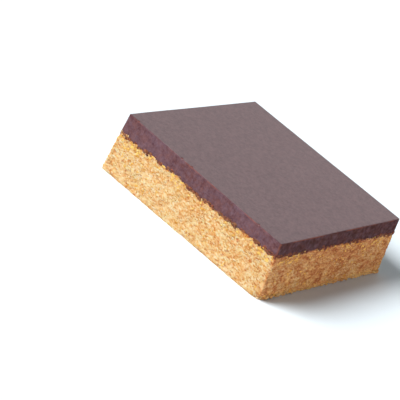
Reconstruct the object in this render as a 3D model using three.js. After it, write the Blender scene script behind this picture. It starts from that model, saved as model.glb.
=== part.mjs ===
// A protein bar: a slab of pressed oat and nut crumb under a thick layer of plain chocolate.
// It was cut from a tray with a knife that leaned a little, so its foot is turned and flared against its top.
// Millimetres, +Z up. The bar lies flat, chocolate up, with the origin under the middle of its footprint.
// +X runs along the longer side, and -Y is the near long side.
import * as THREE from "three";

// Driving sizes of the bar.
const TOP_LENGTH = 60;
const TOP_WIDTH = 56;
const HEIGHT = 18.3;

// How far each corner of the foot stands from the point under the top's corner, in x and y.
const FOOT_LEAN = {
  nearLeft: [-0.5, -1.4],
  nearRight: [1.0, 1.1],
  farRight: [1.5, 1.1],
  farLeft: [-0.6, -1.1],
};

// How thick the chocolate is along the near long side, at even steps from left to right, and how much
// thicker it is at the far side. Its underside also wanders over the crumb.
const CHOCOLATE_ALONG_NEAR_SIDE = [6.6, 6.0, 5.4, 5.1, 5.7, 5.4, 5.0, 4.7, 4.4];
const CHOCOLATE_GAIN_TO_FAR_SIDE = 0.6;
const SEAM_WANDER = 0.15;
const SEAM_CRUMB = 0.35;
const SEAM_WAVE_SIZE = 4.5;
const SEAM_CRUMB_SIZE = 2.4;
const LAYER_GAP = 0.02;

// The chocolate's own edges: a small round at the top, and shallow streaks where the knife passed.
const TOP_ROUND = 0.25;
const TOP_ROUND_STEPS = 2;
const STREAK_DEPTH = 0.07;
const STREAK_SIZE = 3;
const CHOCOLATE_ROWS = 3;

// Pressed crumb: the size of a clump, how deep its relief goes, and how far a crumb stands out of the cut.
const CRUMB_SIZE = 2.1;
const CRUMB_RELIEF = 0.36;
const CRUMB_PROUD = 0.12;
const CRUMB_ROUNDNESS = 1.3;
const EVEN_CRUMB_SHARE = 0.45;
const PIT_SHARE = 0.14;
const PIT_DEPTH = 0.35;
const CLUMP_SHIFT = 0.3;

// The foot's edge has crumbled away, and the near right corner has lost a piece.
const FOOT_CHIP_HEIGHT = 1.0;
const FOOT_CHIP_DEPTH = 0.6;
const FOOT_CHIP_UNEVENNESS = 0.6;
const LOST_CORNER_REACH = 4.5;
const LOST_CORNER_DEPTH = 1.8;

// Corner rounding of the cut, and how finely the outline and the sides are stepped.
const CORNER_ROUND_TOP = 0.45;
const CORNER_ROUND_FOOT = 1.1;
const CORNER_STEPS = 3;
const LONG_SIDE_STEPS = 54;
const SHORT_SIDE_STEPS = 50;
const CRUMB_ROWS = 12;
const SEAM_INNER_SHARE = 0.9;

const CORNERS = ["nearLeft", "nearRight", "farRight", "farLeft"];
const SIDES = { nearLeft: [-1, -1], nearRight: [1, -1], farRight: [1, 1], farLeft: [-1, 1] };
const UPRIGHT = { nearLeft: [0, 0], nearRight: [0, 0], farRight: [0, 0], farLeft: [0, 0] };

// Each use of a random number draws from its own series.
const DRAW = { crumbX: 1, crumbY: 2, crumbZ: 3, crumbLift: 4, seam: 11, foot: 21, clump: 31, streak: 41 };

// A repeatable random number from 0 to 1 for a whole-number cell.
function cellRandom(x, y, z, salt) {
  let h = Math.imul(x, 374761393) ^ Math.imul(y, 668265263) ^ Math.imul(z, 1274126177);
  h = Math.imul(h ^ Math.imul(salt, 2246822519) ^ (h >>> 15), 2654435761);
  h = Math.imul(h ^ (h >>> 13), 1103515245);
  return ((h ^ (h >>> 16)) >>> 0) / 4294967296;
}

// The nearest crumb to a point: each cell of the given size holds one crumb at a random place.
function nearestCrumb(point, size) {
  const cell = point.clone().divideScalar(size).floor();
  let nearest = { distance: Infinity, lift: 0 };
  for (let dx = -1; dx <= 1; dx += 1) {
    for (let dy = -1; dy <= 1; dy += 1) {
      for (let dz = -1; dz <= 1; dz += 1) {
        const [x, y, z] = [cell.x + dx, cell.y + dy, cell.z + dz];
        const centre = new THREE.Vector3(
          x + cellRandom(x, y, z, DRAW.crumbX),
          y + cellRandom(x, y, z, DRAW.crumbY),
          z + cellRandom(x, y, z, DRAW.crumbZ),
        ).multiplyScalar(size);
        const distance = centre.distanceTo(point) / size;
        if (distance < nearest.distance) nearest = { distance, lift: cellRandom(x, y, z, DRAW.crumbLift) };
      }
    }
  }
  return nearest;
}

// Smooth noise from -1 to 1 whose waves are about the given size across.
function softNoise(point, size, salt) {
  const scaled = point.clone().divideScalar(size);
  const cell = scaled.clone().floor();
  const ease = scaled.sub(cell).toArray().map((f) => f * f * (3 - 2 * f));
  let sum = 0;
  for (let corner = 0; corner < 8; corner += 1) {
    const step = [corner & 1, (corner >> 1) & 1, corner >> 2];
    const weight = step.reduce((w, s, k) => w * (s ? ease[k] : 1 - ease[k]), 1);
    sum += weight * cellRandom(cell.x + step[0], cell.y + step[1], cell.z + step[2], salt);
  }
  return 2 * sum - 1;
}

// The height of the crumb's relief at a point, in mm outwards: domed crumbs with pits between them.
function crumbRelief(point) {
  const { distance, lift } = nearestCrumb(point, CRUMB_SIZE);
  const dome = Math.max(0, 1 - CRUMB_ROUNDNESS * distance * distance);
  const rise = dome * THREE.MathUtils.lerp(EVEN_CRUMB_SHARE, 1, lift);
  const pit = lift < PIT_SHARE ? PIT_DEPTH * dome : 0;
  return CRUMB_PROUD - CRUMB_RELIEF * (1 - rise) - pit;
}

const NEAR_SIDE_CURVE = new THREE.SplineCurve(
  CHOCOLATE_ALONG_NEAR_SIDE.map((thickness, step) => new THREE.Vector2(step, thickness)),
);

// The height of the seam under the chocolate, smooth inside the bar.
function seamInside(x, y) {
  const along = THREE.MathUtils.clamp(x / TOP_LENGTH + 0.5, 0, 1);
  const thickness = NEAR_SIDE_CURVE.getPoint(along).y + CHOCOLATE_GAIN_TO_FAR_SIDE * (y / TOP_WIDTH + 0.5);
  return HEIGHT - thickness;
}

// The height of the seam at the cut, where crumbs push up into the chocolate.
function seamAtCut(x, y) {
  const point = new THREE.Vector3(x, y, 0);
  const { distance, lift } = nearestCrumb(point, SEAM_CRUMB_SIZE);
  const wave = SEAM_WANDER * softNoise(point, SEAM_WAVE_SIZE, DRAW.seam);
  return seamInside(x, y) + wave + SEAM_CRUMB * (lift - distance);
}

// The bar's outline at its top or its foot, as the same number of points each time, starting near left.
function cutOutline(lean, round) {
  const corners = CORNERS.map((name) => {
    const [sideX, sideY] = SIDES[name];
    return new THREE.Vector2(
      (sideX * TOP_LENGTH) / 2 + lean[name][0],
      (sideY * TOP_WIDTH) / 2 + lean[name][1],
    );
  });
  const towards = (from, to) => to.clone().sub(from).setLength(round).add(from);
  return corners.flatMap((corner, k) => {
    const [before, after] = [corners[(k + 3) % 4], corners[(k + 1) % 4]];
    const turn = new THREE.QuadraticBezierCurve(towards(corner, before), corner, towards(corner, after));
    const side = new THREE.LineCurve(towards(corner, after), towards(after, corner));
    const steps = k % 2 === 0 ? LONG_SIDE_STEPS : SHORT_SIDE_STEPS;
    return [...turn.getPoints(CORNER_STEPS).slice(0, -1), ...side.getPoints(steps).slice(0, -1)];
  });
}

const TOP_OUTLINE = cutOutline(UPRIGHT, CORNER_ROUND_TOP);
const FOOT_OUTLINE = cutOutline(FOOT_LEAN, CORNER_ROUND_FOOT);
const RING = TOP_OUTLINE.length;
const LOST_CORNER = new THREE.Vector3(
  TOP_LENGTH / 2 + FOOT_LEAN.nearRight[0],
  -TOP_WIDTH / 2 + FOOT_LEAN.nearRight[1],
  0,
);

// The point of the knife's cut at one step of the outline and one height.
function cutPoint(step, z) {
  const flat = FOOT_OUTLINE[step].clone().lerp(TOP_OUTLINE[step], z / HEIGHT);
  return new THREE.Vector3(flat.x, flat.y, z);
}

// The level way out of the bar at one step of the outline.
function outwards(step) {
  const before = TOP_OUTLINE[(step + RING - 1) % RING];
  const after = TOP_OUTLINE[(step + 1) % RING];
  return new THREE.Vector3(after.y - before.y, before.x - after.x, 0).normalize();
}

// How much of the foot has crumbled away at a point of the cut, in mm.
function crumbledAway(point) {
  const low = Math.max(0, 1 - point.z / FOOT_CHIP_HEIGHT);
  const edge = FOOT_CHIP_DEPTH * low * (1 + FOOT_CHIP_UNEVENNESS * softNoise(point, CRUMB_SIZE, DRAW.foot));
  const near = Math.max(0, 1 - point.distanceTo(LOST_CORNER) / LOST_CORNER_REACH);
  return edge + LOST_CORNER_DEPTH * near * near * (3 - 2 * near);
}

// One row of the crumb's side, from the foot at row 0 to the seam at the last row, where the relief ends.
function crumbRing(row) {
  return TOP_OUTLINE.map((top, step) => {
    const seam = seamAtCut(top.x, top.y);
    const isEdge = row === 0 || row === CRUMB_ROWS;
    const shift = isEdge ? 0 : CLUMP_SHIFT * (2 * cellRandom(step, row, 0, DRAW.clump) - 1);
    const point = cutPoint(step, (seam * (row + shift)) / CRUMB_ROWS);
    if (row === CRUMB_ROWS) return point;
    return point.addScaledVector(outwards(step), crumbRelief(point) - crumbledAway(point));
  });
}

// The seam's rings and its middle, which the top of the crumb and the underside of the chocolate share.
function seamRings() {
  const rim = crumbRing(CRUMB_ROWS);
  const inner = rim.map((point) => {
    const [x, y] = [point.x * SEAM_INNER_SHARE, point.y * SEAM_INNER_SHARE];
    return new THREE.Vector3(x, y, seamInside(x, y));
  });
  return { rim, inner, middle: new THREE.Vector3(0, 0, seamInside(0, 0)) };
}

// A closed skin over a stack of rings, with a fan to a point at each end. The rings turn anticlockwise.
// Each four-sided patch is folded along its shorter diagonal, so skins that share two rings share the folds.
function skin(first, rings, last) {
  const points = [first, ...rings.flat(), last];
  const index = [];
  const at = (ring, step) => 1 + ring * RING + (step % RING);
  for (let step = 0; step < RING; step += 1) {
    index.push(0, at(0, step + 1), at(0, step));
    for (let ring = 0; ring + 1 < rings.length; ring += 1) {
      const [a, b] = [at(ring, step), at(ring, step + 1)];
      const [c, d] = [at(ring + 1, step + 1), at(ring + 1, step)];
      const straight = points[a].distanceTo(points[c]) < points[b].distanceTo(points[d]);
      index.push(...(straight ? [a, b, c, a, c, d] : [a, b, d, b, c, d]));
    }
    index.push(at(rings.length - 1, step), at(rings.length - 1, step + 1), points.length - 1);
  }
  const geometry = new THREE.BufferGeometry().setFromPoints(points);
  geometry.setIndex(index);
  geometry.computeVertexNormals();
  return geometry;
}

// The pressed crumb: a flat underside, rough cut sides, and the seam on top.
function crumbGeometry() {
  const { rim, inner, middle } = seamRings();
  const sides = Array.from({ length: CRUMB_ROWS }, (_, row) => crumbRing(row));
  return skin(new THREE.Vector3(0, 0, 0), [...sides, rim, inner], middle);
}

// The chocolate: the seam underneath, straight cut sides with knife streaks, and a level top.
function chocolateGeometry() {
  const lift = new THREE.Vector3(0, 0, LAYER_GAP);
  const { rim, inner, middle } = seamRings();
  const shoulder = HEIGHT - TOP_ROUND;
  const sides = Array.from({ length: CHOCOLATE_ROWS }, (_, row) =>
    rim.map((low, step) => {
      const point = cutPoint(step, THREE.MathUtils.lerp(low.z, shoulder, (row + 1) / CHOCOLATE_ROWS));
      const streak = STREAK_DEPTH * softNoise(point.clone().setZ(0), STREAK_SIZE, DRAW.streak);
      return point.addScaledVector(outwards(step), streak);
    }),
  );
  const round = Array.from({ length: TOP_ROUND_STEPS }, (_, k) => {
    const angle = (((k + 1) / TOP_ROUND_STEPS) * Math.PI) / 2;
    return sides.at(-1).map((edge, step) =>
      edge
        .clone()
        .addScaledVector(outwards(step), -TOP_ROUND * (1 - Math.cos(angle)))
        .setZ(shoulder + TOP_ROUND * Math.sin(angle)),
    );
  });
  const underside = [inner, rim].map((ring) => ring.map((point) => point.clone().add(lift)));
  return skin(middle.clone().add(lift), [...underside, ...sides, ...round], new THREE.Vector3(0, 0, HEIGHT));
}

// One named piece of the bar in its own colour.
function piece(name, geometry, color, roughness) {
  const mesh = new THREE.Mesh(geometry, new THREE.MeshStandardMaterial({ color, roughness, metalness: 0 }));
  mesh.name = name;
  return mesh;
}

const bar = new THREE.Group();
bar.name = "protein_bar";
bar.add(piece("oat_base", crumbGeometry(), 0xe3b478, 0.9));
bar.add(piece("chocolate_layer", chocolateGeometry(), 0x5b3b38, 0.5));

// The lean makes the foot lopsided, so the bar is moved to put its footprint's middle over the origin.
const middle = new THREE.Box3().setFromObject(bar).getCenter(new THREE.Vector3());
bar.position.set(-middle.x, -middle.y, 0);

export default bar;
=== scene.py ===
"""A protein bar: a slab of pressed oat and nut crumb under a thick, level layer of dark chocolate.

The bar lies flat with its chocolate up. Each piece is modelled upright and then leaned, as the knife
leaned in the tray. Its foot has crumbled along the edge, and crumbs push up into the chocolate along
the seam. Sizes are in millimetres in the classes below, and the finished meshes are in metres.
"""

from __future__ import annotations

import logging
import math
from dataclasses import dataclass, field
from enum import Enum, IntEnum
from typing import Callable, Iterable

import bmesh
import bpy
import numpy as np
from mathutils import Matrix, Vector

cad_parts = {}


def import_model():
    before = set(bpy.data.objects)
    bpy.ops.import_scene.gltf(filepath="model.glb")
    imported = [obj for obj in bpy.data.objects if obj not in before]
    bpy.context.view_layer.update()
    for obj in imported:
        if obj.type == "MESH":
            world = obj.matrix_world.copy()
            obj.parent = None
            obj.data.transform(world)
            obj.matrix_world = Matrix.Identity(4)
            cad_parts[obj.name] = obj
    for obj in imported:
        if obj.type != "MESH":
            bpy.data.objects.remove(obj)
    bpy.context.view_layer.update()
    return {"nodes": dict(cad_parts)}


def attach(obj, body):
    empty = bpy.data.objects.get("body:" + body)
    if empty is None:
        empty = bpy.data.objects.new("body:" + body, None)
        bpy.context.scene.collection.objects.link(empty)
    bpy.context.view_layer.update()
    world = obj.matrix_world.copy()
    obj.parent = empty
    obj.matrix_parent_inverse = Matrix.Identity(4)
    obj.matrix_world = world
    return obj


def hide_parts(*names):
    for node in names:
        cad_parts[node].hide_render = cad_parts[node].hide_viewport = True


LOG = logging.getLogger("protein_bar")
MM = 0.001
BODY = "root"
UPRIGHT_ENOUGH = 0.9  # how far up or down a face's normal points where the face is an end of the block
STRAIGHT_ENOUGH = 0.98  # how far an edge runs along an axis where it counts as running along it
SOFT_PATCH = (0.2, 1.0)  # where a soft patch is full and where it ends, as shares of its reach
CELL_FACTORS = (0x9E3779B97F4A7C15, 0xC2B2AE3D27D4EB4F, 0x165667B19E3779F9)  # they spread the cells' numbers
SEED_FACTOR = 0xD6E8FEB86659FD93
SEED_STEP, TRAIT_STEP = 1009, 97  # they keep the series of the seeds and of the traits apart
STIRS = ((32, 0xFF51AFD7ED558CCD), (29, 0xC4CEB9FE1A85EC53))  # shifts and factors that mix a number's bits
LAST_SHIFT = 32
FLOAT_BITS = 53  # how many of its 64 bits a fraction keeps
MIX_SHARE, MIX_FIRST, MIX_SECOND, MIX_RESULT = 0, 6, 7, 2  # where a colour Mix node has its sockets
Array = np.ndarray


class Corner(Enum):
    """The four upright corners of the bar, as the signs of their X and Y."""

    NEAR_LEFT = (-1, -1)
    NEAR_RIGHT = (1, -1)
    FAR_RIGHT = (1, 1)
    FAR_LEFT = (-1, 1)


class Element(Enum):
    """What an operator works on in edit mode."""

    VERTS = "VERT"
    EDGES = "EDGE"
    FACES = "FACE"


class Side(Enum):
    """The four cut sides, as the level way out of each in X and Y."""

    NEAR = (0, -1)
    RIGHT = (1, 0)
    FAR = (0, 1)
    LEFT = (-1, 0)


class Layer(Enum):
    """The two layers of the bar, as the node each replaces and the slot of its finish."""

    CRUMB = ("oat_base", "oat_crumb")
    CHOCOLATE = ("chocolate_layer", "chocolate")


class Trait(IntEnum):
    """The random numbers that each crumb of a field has of its own."""

    STEP = 3
    TONE = 4
    EXTENT = 5
    TILT_X = 6
    TILT_Y = 7
    TILT_Z = 8

    @classmethod
    def tilts(cls) -> tuple[Trait, Trait, Trait]:
        """Gives the three that tilt a crumb's facet."""
        return cls.TILT_X, cls.TILT_Y, cls.TILT_Z


class Tint(Enum):
    """The colours of the bar's foods and of the studio, as they look in plain daylight; a few of them also
    serve as painted shade or a painted highlight.
    """

    # Painted shade: the brown that pits, hollows and the undersides of crumbs are darkened towards.
    BROWN_PIT = "#9C4E10"
    TOASTED = "#B66E26"
    GOLDEN = "#C39150"
    HONEY = "#CAA56D"
    CREAM = "#CCB486"
    PALE_OAT = "#CEC1A0"
    NUT_TOASTED = "#A1691F"
    NUT_GOLDEN = "#C9963A"
    NUT_PALE = "#E3C06A"
    # The moist tints also serve as painted shade: the right side is painted with them as in shade.
    MOIST_BROWN = "#8C4519"
    MOIST_TOASTED = "#AC5F2A"
    MOIST_GOLDEN = "#BC763C"
    MOIST_HONEY = "#C88B4C"
    MOIST_PALE = "#D9A55F"
    MOIST_NUT_TOASTED = "#B06A24"
    MOIST_NUT_GOLDEN = "#D49230"
    MOIST_NUT_PALE = "#FAC25C"
    SOAKED = "#3E140C"
    SOAKED_PALE = "#7C3018"
    CHOCOLATE_CUT = "#6D565E"
    CHOCOLATE_CUT_BROWN = "#704C4A"
    CHOCOLATE_CUT_DARK = "#4C3034"
    # Painted shade: multiplied over the right side's chocolate to make it greyer and darker.
    CHOCOLATE_SMEARED = "#C6BEAC"
    CHOCOLATE_TOP = "#4E363A"
    CHOCOLATE_TOP_PALE = "#6E5658"
    CHOCOLATE_HAZE = "#85707E"
    # Painted highlight: the reddish line along the chocolate's top edge and down the near right corner; the
    # pale nicks show it too.
    CHOCOLATE_RIM = "#9A5846"
    WHITE_TABLE = "#E8F2F8"

    def linear(self, strength: float = 1.0) -> tuple[float, float, float, float]:
        """Gives the colour as Blender's linear light.

        Args:
            strength: What it is multiplied by.

        Returns:
            Red, green, blue and alpha.
        """
        channels = [int(self.value[k : k + 2], 16) / 255 for k in (1, 3, 5)]
        curve = [c / 12.92 if c <= 0.04045 else ((c + 0.055) / 1.055) ** 2.4 for c in channels]
        return (curve[0] * strength, curve[1] * strength, curve[2] * strength, 1.0)


# --------------------------------------------------------------------------------------------------
# Modelling helpers
# --------------------------------------------------------------------------------------------------


class Bench:
    """Blender's own modelling operators, used on one piece at a time."""

    @staticmethod
    def clear() -> None:
        """Leaves edit mode and deselects everything."""
        if bpy.context.object and bpy.context.object.mode != "OBJECT":
            bpy.ops.object.mode_set(mode="OBJECT")
        bpy.ops.object.select_all(action="DESELECT")

    @staticmethod
    def open(piece: bpy.types.Object) -> None:
        """Puts a piece alone in edit mode with nothing selected.

        Args:
            piece: The piece.
        """
        Bench.clear()
        piece.select_set(True)
        bpy.context.view_layer.objects.active = piece
        bpy.ops.object.mode_set(mode="EDIT")
        bpy.ops.mesh.select_mode(type="VERT")
        bpy.ops.mesh.select_all(action="DESELECT")

    @staticmethod
    def close() -> None:
        """Leaves edit mode."""
        bpy.ops.object.mode_set(mode="OBJECT")

    @staticmethod
    def pick(piece: bpy.types.Object, element: Element, test: Callable[[object], bool]) -> int:
        """Selects the elements of a piece in edit mode that pass a test, and nothing else.

        Args:
            piece: The piece in edit mode.
            element: Whether vertices, edges or faces are picked.
            test: Says of one bmesh element whether it is picked.

        Returns:
            How many elements are picked.
        """
        bpy.ops.mesh.select_mode(type=element.value)
        bpy.ops.mesh.select_all(action="DESELECT")
        mesh = bmesh.from_edit_mesh(piece.data)
        kinds = {Element.VERTS: mesh.verts, Element.EDGES: mesh.edges, Element.FACES: mesh.faces}
        picked = [part for part in kinds[element] if test(part)]
        for part in picked:
            part.select_set(True)
        mesh.select_flush_mode()
        bmesh.update_edit_mesh(piece.data)
        return len(picked)

    @staticmethod
    def divide(piece: bpy.types.Object, axis: int, steps: Iterable[int], longer_than: float) -> None:
        """Divides the long edges that run along an axis again and again, by as many parts as each step says.

        Args:
            piece: The piece in edit mode.
            axis: 0, 1 or 2 for X, Y or Z.
            steps: The number of parts of each round.
            longer_than: Shorter edges, in millimetres, are left alone.
        """

        def runs_along(edge: object) -> bool:
            """Says whether one edge is divided."""
            way = edge.verts[1].co - edge.verts[0].co
            return abs(way[axis]) > STRAIGHT_ENOUGH * way.length and way.length > longer_than * MM

        for parts in steps:
            Bench.pick(piece, Element.EDGES, runs_along)
            bpy.ops.mesh.subdivide(number_cuts=parts - 1)

    @staticmethod
    def round_and_divide(
        piece: bpy.types.Object, rounding: float, rounds: tuple[tuple[int, ...], ...], longer_than: float
    ) -> None:
        """Opens an upright block at its picked faces, rounds its other edges and divides its sides finely.

        Args:
            piece: The block, in edit mode with the faces picked. It leaves edit mode.
            rounding: The rounding of the edges, in millimetres.
            rounds: The number of parts of each round of dividing, along X, Y and Z.
            longer_than: Edges shorter than this, in millimetres, aren't divided.
        """
        bpy.ops.mesh.delete(type="ONLY_FACE")
        Bench.pick(piece, Element.EDGES, lambda edge: not edge.is_boundary)
        bpy.ops.mesh.bevel(offset=rounding * MM, segments=3, affect="EDGES")
        for axis, steps in enumerate(rounds):
            Bench.divide(piece, axis, steps, longer_than)
        Bench.face_outwards(piece)
        Bench.close()

    @staticmethod
    def cap(piece: bpy.types.Object, test: Callable[[object], bool], rim: float) -> None:
        """Closes an opening of a piece in edit mode with a narrow rim and one flat face.

        Args:
            piece: The piece in edit mode.
            test: Says of one edge whether it is on the opening.
            rim: How wide the flat face is, as a share of the opening.
        """
        Bench.pick(piece, Element.EDGES, test)
        bpy.ops.mesh.extrude_edges_move()
        bpy.ops.transform.resize(value=(rim, rim, 1.0), center_override=(0, 0, 0))
        bpy.ops.mesh.edge_face_add()

    @staticmethod
    def face_outwards(piece: bpy.types.Object) -> None:
        """Turns every face of a piece in edit mode outwards."""
        bpy.ops.mesh.select_all(action="SELECT")
        bpy.ops.mesh.normals_make_consistent(inside=False)

    @staticmethod
    def points(piece: bpy.types.Object) -> Array:
        """Gives a piece's vertices.

        Args:
            piece: The piece, in object mode.

        Returns:
            Their places in millimetres, one row each.
        """
        flat = np.empty(len(piece.data.vertices) * 3)
        piece.data.vertices.foreach_get("co", flat)
        return flat.reshape(-1, 3) / MM

    @staticmethod
    def set_points(piece: bpy.types.Object, points: Array) -> None:
        """Moves a piece's vertices to new places, given in millimetres."""
        piece.data.vertices.foreach_set("co", (points * MM).ravel())
        piece.data.update()

    @staticmethod
    def outwards(piece: bpy.types.Object) -> Array:
        """Gives the way out of a piece at each vertex.

        Args:
            piece: The piece, in object mode.

        Returns:
            One row of length 1 for each vertex.
        """
        flat = np.empty(len(piece.data.vertices) * 3, dtype=np.float32)
        piece.data.vertex_normals.foreach_get("vector", flat)
        return flat.reshape(-1, 3).astype(float)

    @staticmethod
    def mark(piece: bpy.types.Object, name: str, values: Array) -> None:
        """Stores one number for each vertex, for the finishes to read."""
        layer = piece.data.attributes.new(name, "FLOAT", "POINT")
        layer.data.foreach_set("value", values.astype(np.float32))


@dataclass(frozen=True)
class CellField:
    """Space packed with crumbs, one at a random place in each cell of a grid.

    Attributes:
        size: How wide a cell is.
        seed: Which of the repeatable random series is used.
        flatness: How much wider than high a crumb is, as pressing leaves it.
    """

    size: float
    seed: int
    flatness: float = 1.0

    def draw(self, cells: Array, trait: int) -> Array:
        """Gives a repeatable number from 0 to 1 for each cell.

        Args:
            cells: Whole numbers that name the cells, one row each.
            trait: Which of a cell's own numbers is wanted: a Trait, or 0 to 2 for its place.

        Returns:
            One number for each row.
        """
        parts = cells.astype(np.int64).astype(np.uint64)
        with np.errstate(over="ignore"):
            mixed = np.zeros(len(cells), dtype=np.uint64)
            for axis, factor in enumerate(CELL_FACTORS):
                mixed ^= parts[:, axis] * np.uint64(factor)
            mixed += np.uint64(self.seed * SEED_STEP + trait * TRAIT_STEP) * np.uint64(SEED_FACTOR)
            for shift, factor in STIRS:
                mixed ^= mixed >> np.uint64(shift)
                mixed *= np.uint64(factor)
            mixed ^= mixed >> np.uint64(LAST_SHIFT)
        return (mixed >> np.uint64(64 - FLOAT_BITS)).astype(float) / 2.0**FLOAT_BITS

    def nearest(self, points: Array) -> tuple[Array, Array, Array, Array]:
        """Finds the crumb that each point lies in.

        Args:
            points: Places in millimetres, one row each.

        Returns:
            The distance to the nearest crumb's middle and to the next one's, both in cells, then the
            nearest one's cell and the step from its middle to the point, in cells.
        """
        scaled = points / self.size * np.array([1.0, 1.0, self.flatness])
        home = np.floor(scaled).astype(np.int64)
        first = np.full(len(points), np.inf)
        second = first.copy()
        cell = home.copy()
        step = np.zeros_like(scaled)
        around = (-1, 0, 1)
        for offset in ((x, y, z) for x in around for y in around for z in around):
            there = home + np.array(offset)
            middle = there + np.stack([self.draw(there, k) for k in range(3)], axis=1)
            away = scaled - middle
            distance = np.sqrt((away**2).sum(axis=1))
            closer = distance < first
            second = np.where(closer, first, np.minimum(second, distance))
            first = np.where(closer, distance, first)
            cell[closer] = there[closer]
            step[closer] = away[closer]
        return first, second, cell, step


@dataclass(frozen=True)
class SoftNoise:
    """Smooth waves of about one size, from -1 to 1."""

    size: float
    seed: int

    def at(self, points: Array) -> Array:
        """Gives the height of the waves at each point.

        Args:
            points: Places in millimetres, one row each.

        Returns:
            One number for each row.
        """
        scaled = points / self.size
        home = np.floor(scaled).astype(np.int64)
        share = scaled - home
        share = share * share * (3 - 2 * share)
        cells = CellField(self.size, self.seed)
        total = np.zeros(len(points))
        for corner in ((x, y, z) for x in (0, 1) for y in (0, 1) for z in (0, 1)):
            weight = np.prod(np.where(np.array(corner) == 1, share, 1 - share), axis=1)
            total += weight * cells.draw(home + np.array(corner), Trait.EXTENT)
        return 2 * total - 1


def ramp(values: Array, low: float, high: float) -> Array:
    """Gives 0 below low, 1 above high, and a smooth rise between them."""
    share = np.clip((values - low) / (high - low), 0, 1)
    return share * share * (3 - 2 * share)


# --------------------------------------------------------------------------------------------------
# The cut
# --------------------------------------------------------------------------------------------------


@dataclass
class BarCut:
    """The knife's cut through the tray: a level top, upright in the main, over a foot that leans.

    Attributes:
        length: The top's longer side.
        width: The top's shorter side.
        height: The whole bar's thickness.
        lean: How far each corner of the foot stands from the point under the top's corner.
        thickness_along_near: The chocolate's thickness along the near long side, from left to right.
        gain_to_far: How much thicker the chocolate is at the far long side.
        seam_waves: The slow waves of the seam.
        seam_wander: How far they rise and fall.
        seam_crumbs: The crumbs that push up into the chocolate, and how far each kind does.
        middle: The middle of the top face, in X and Y.
    """

    length: float = 60.0
    width: float = 56.0
    height: float = 18.3
    lean: dict[Corner, tuple[float, float]] = field(
        default_factory=lambda: {
            Corner.NEAR_LEFT: (-0.5, -1.4),
            Corner.NEAR_RIGHT: (1.0, 1.1),
            Corner.FAR_RIGHT: (1.5, 1.1),
            Corner.FAR_LEFT: (-0.6, -1.1),
        }
    )
    thickness_along_near: tuple[float, ...] = (6.6, 6.0, 5.4, 5.1, 5.7, 5.4, 5.0, 4.7, 4.4)
    gain_to_far: float = 0.6
    seam_waves: SoftNoise = SoftNoise(size=4.5, seed=22)
    seam_wander: float = 0.12
    seam_crumbs: tuple[tuple[CellField, float], ...] = (
        (CellField(size=1.9, seed=21), 0.28),
        (CellField(size=0.75, seed=23), 0.22),
    )
    middle: tuple[float, float] = (0.0, 0.0)

    @classmethod
    def from_frame(cls, chocolate: bpy.types.Object) -> BarCut:
        """Places the cut where the frame's chocolate has its level top.

        Args:
            chocolate: The frame's own chocolate layer.

        Returns:
            The cut, with its middle measured.
        """
        points, level_within = Bench.points(chocolate), 0.01
        top = points[points[:, 2] > points[:, 2].max() - level_within]
        low, high = top.min(axis=0), top.max(axis=0)
        return cls(middle=((low[0] + high[0]) / 2, (low[1] + high[1]) / 2))

    def span(self, side: Side) -> float:
        """Gives the length of a side."""
        return self.length if side.value[0] == 0 else self.width

    def reach(self, side: Side) -> float:
        """Gives how far a side stands from the bar's middle."""
        return self.width / 2 if side.value[0] == 0 else self.length / 2

    def way_out(self, side: Side) -> Array:
        """Gives the way out of a side, as a row of length 1."""
        return np.array([side.value[0], side.value[1], 0.0])

    def past_right(self, points: Array) -> Array:
        """Gives how far each point lies out of the plane of the right side, below 0 inside."""
        return points[:, 0] - self.middle[0] - self.length / 2

    def near_right_corner(self) -> Array:
        """Gives the foot's near right corner on the upright bar, as one row."""
        none = np.zeros(1)
        return self.on_side(Side.NEAR, none + self.length / 2, none, none)

    def on_side(self, side: Side, along: Array, z: Array, out: Array) -> Array:
        """Gives points by their place on a side of the upright bar.

        Args:
            side: Which side.
            along: How far right of the side's middle each point is, as one sees it from outside.
            z: How high each point is.
            out: How far out of the cut each point stands.

        Returns:
            The points, one row each.
        """
        way = self.way_out(side)
        right = np.array([-way[1], way[0], 0.0])
        points = np.outer(self.reach(side) + out, way) + np.outer(along, right)
        points[:, :2] += np.array(self.middle)
        points[:, 2] = z
        return points

    def lean_over(self, piece: bpy.types.Object) -> None:
        """Leans an upright piece as the knife leaned, more and more towards its foot.

        Args:
            piece: The upright piece.
        """
        points = Bench.points(piece)
        across = np.clip((points[:, 0] - self.middle[0]) / self.length + 0.5, 0, 1)
        deep = np.clip((points[:, 1] - self.middle[1]) / self.width + 0.5, 0, 1)
        shift = np.zeros((len(points), 2))
        for corner, lean in self.lean.items():
            side_x, side_y = corner.value
            weight = (across if side_x > 0 else 1 - across) * (deep if side_y > 0 else 1 - deep)
            shift += np.outer(weight, lean)
        share = 1 - points[:, 2] / self.height
        points[:, :2] += shift * share[:, None]
        Bench.set_points(piece, points)

    def seam(self, points: Array) -> Array:
        """Gives the height of the seam between crumb and chocolate above or below each point.

        Args:
            points: Places in millimetres, one row each.

        Returns:
            One height for each row.
        """
        stops = len(self.thickness_along_near) - 1
        place = np.clip((points[:, 0] - self.middle[0]) / self.length + 0.5, 0, 1) * stops
        across = np.clip((points[:, 1] - self.middle[1]) / self.width + 0.5, 0, 1)
        left = np.clip(np.floor(place).astype(int), 0, stops - 1)
        share = place - left
        share = share * share * (3 - 2 * share)
        heights = np.array(self.thickness_along_near)
        near = heights[left] * (1 - share) + heights[left + 1] * share
        return self.height - near - self.gain_to_far * across

    def seam_at_cut(self, points: Array) -> Array:
        """Gives the height of the seam at the cut, where crumbs push up into the chocolate.

        Args:
            points: Places in millimetres, one row each.

        Returns:
            One height for each row.
        """
        flat = points * np.array([1, 1, 0])
        height = self.seam(points) + self.seam_wander * self.seam_waves.at(flat)
        for crumbs, rise in self.seam_crumbs:
            near, _, cell, _ = crumbs.nearest(flat)
            height += rise * (crumbs.draw(cell, Trait.STEP) - near)
        return height

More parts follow.
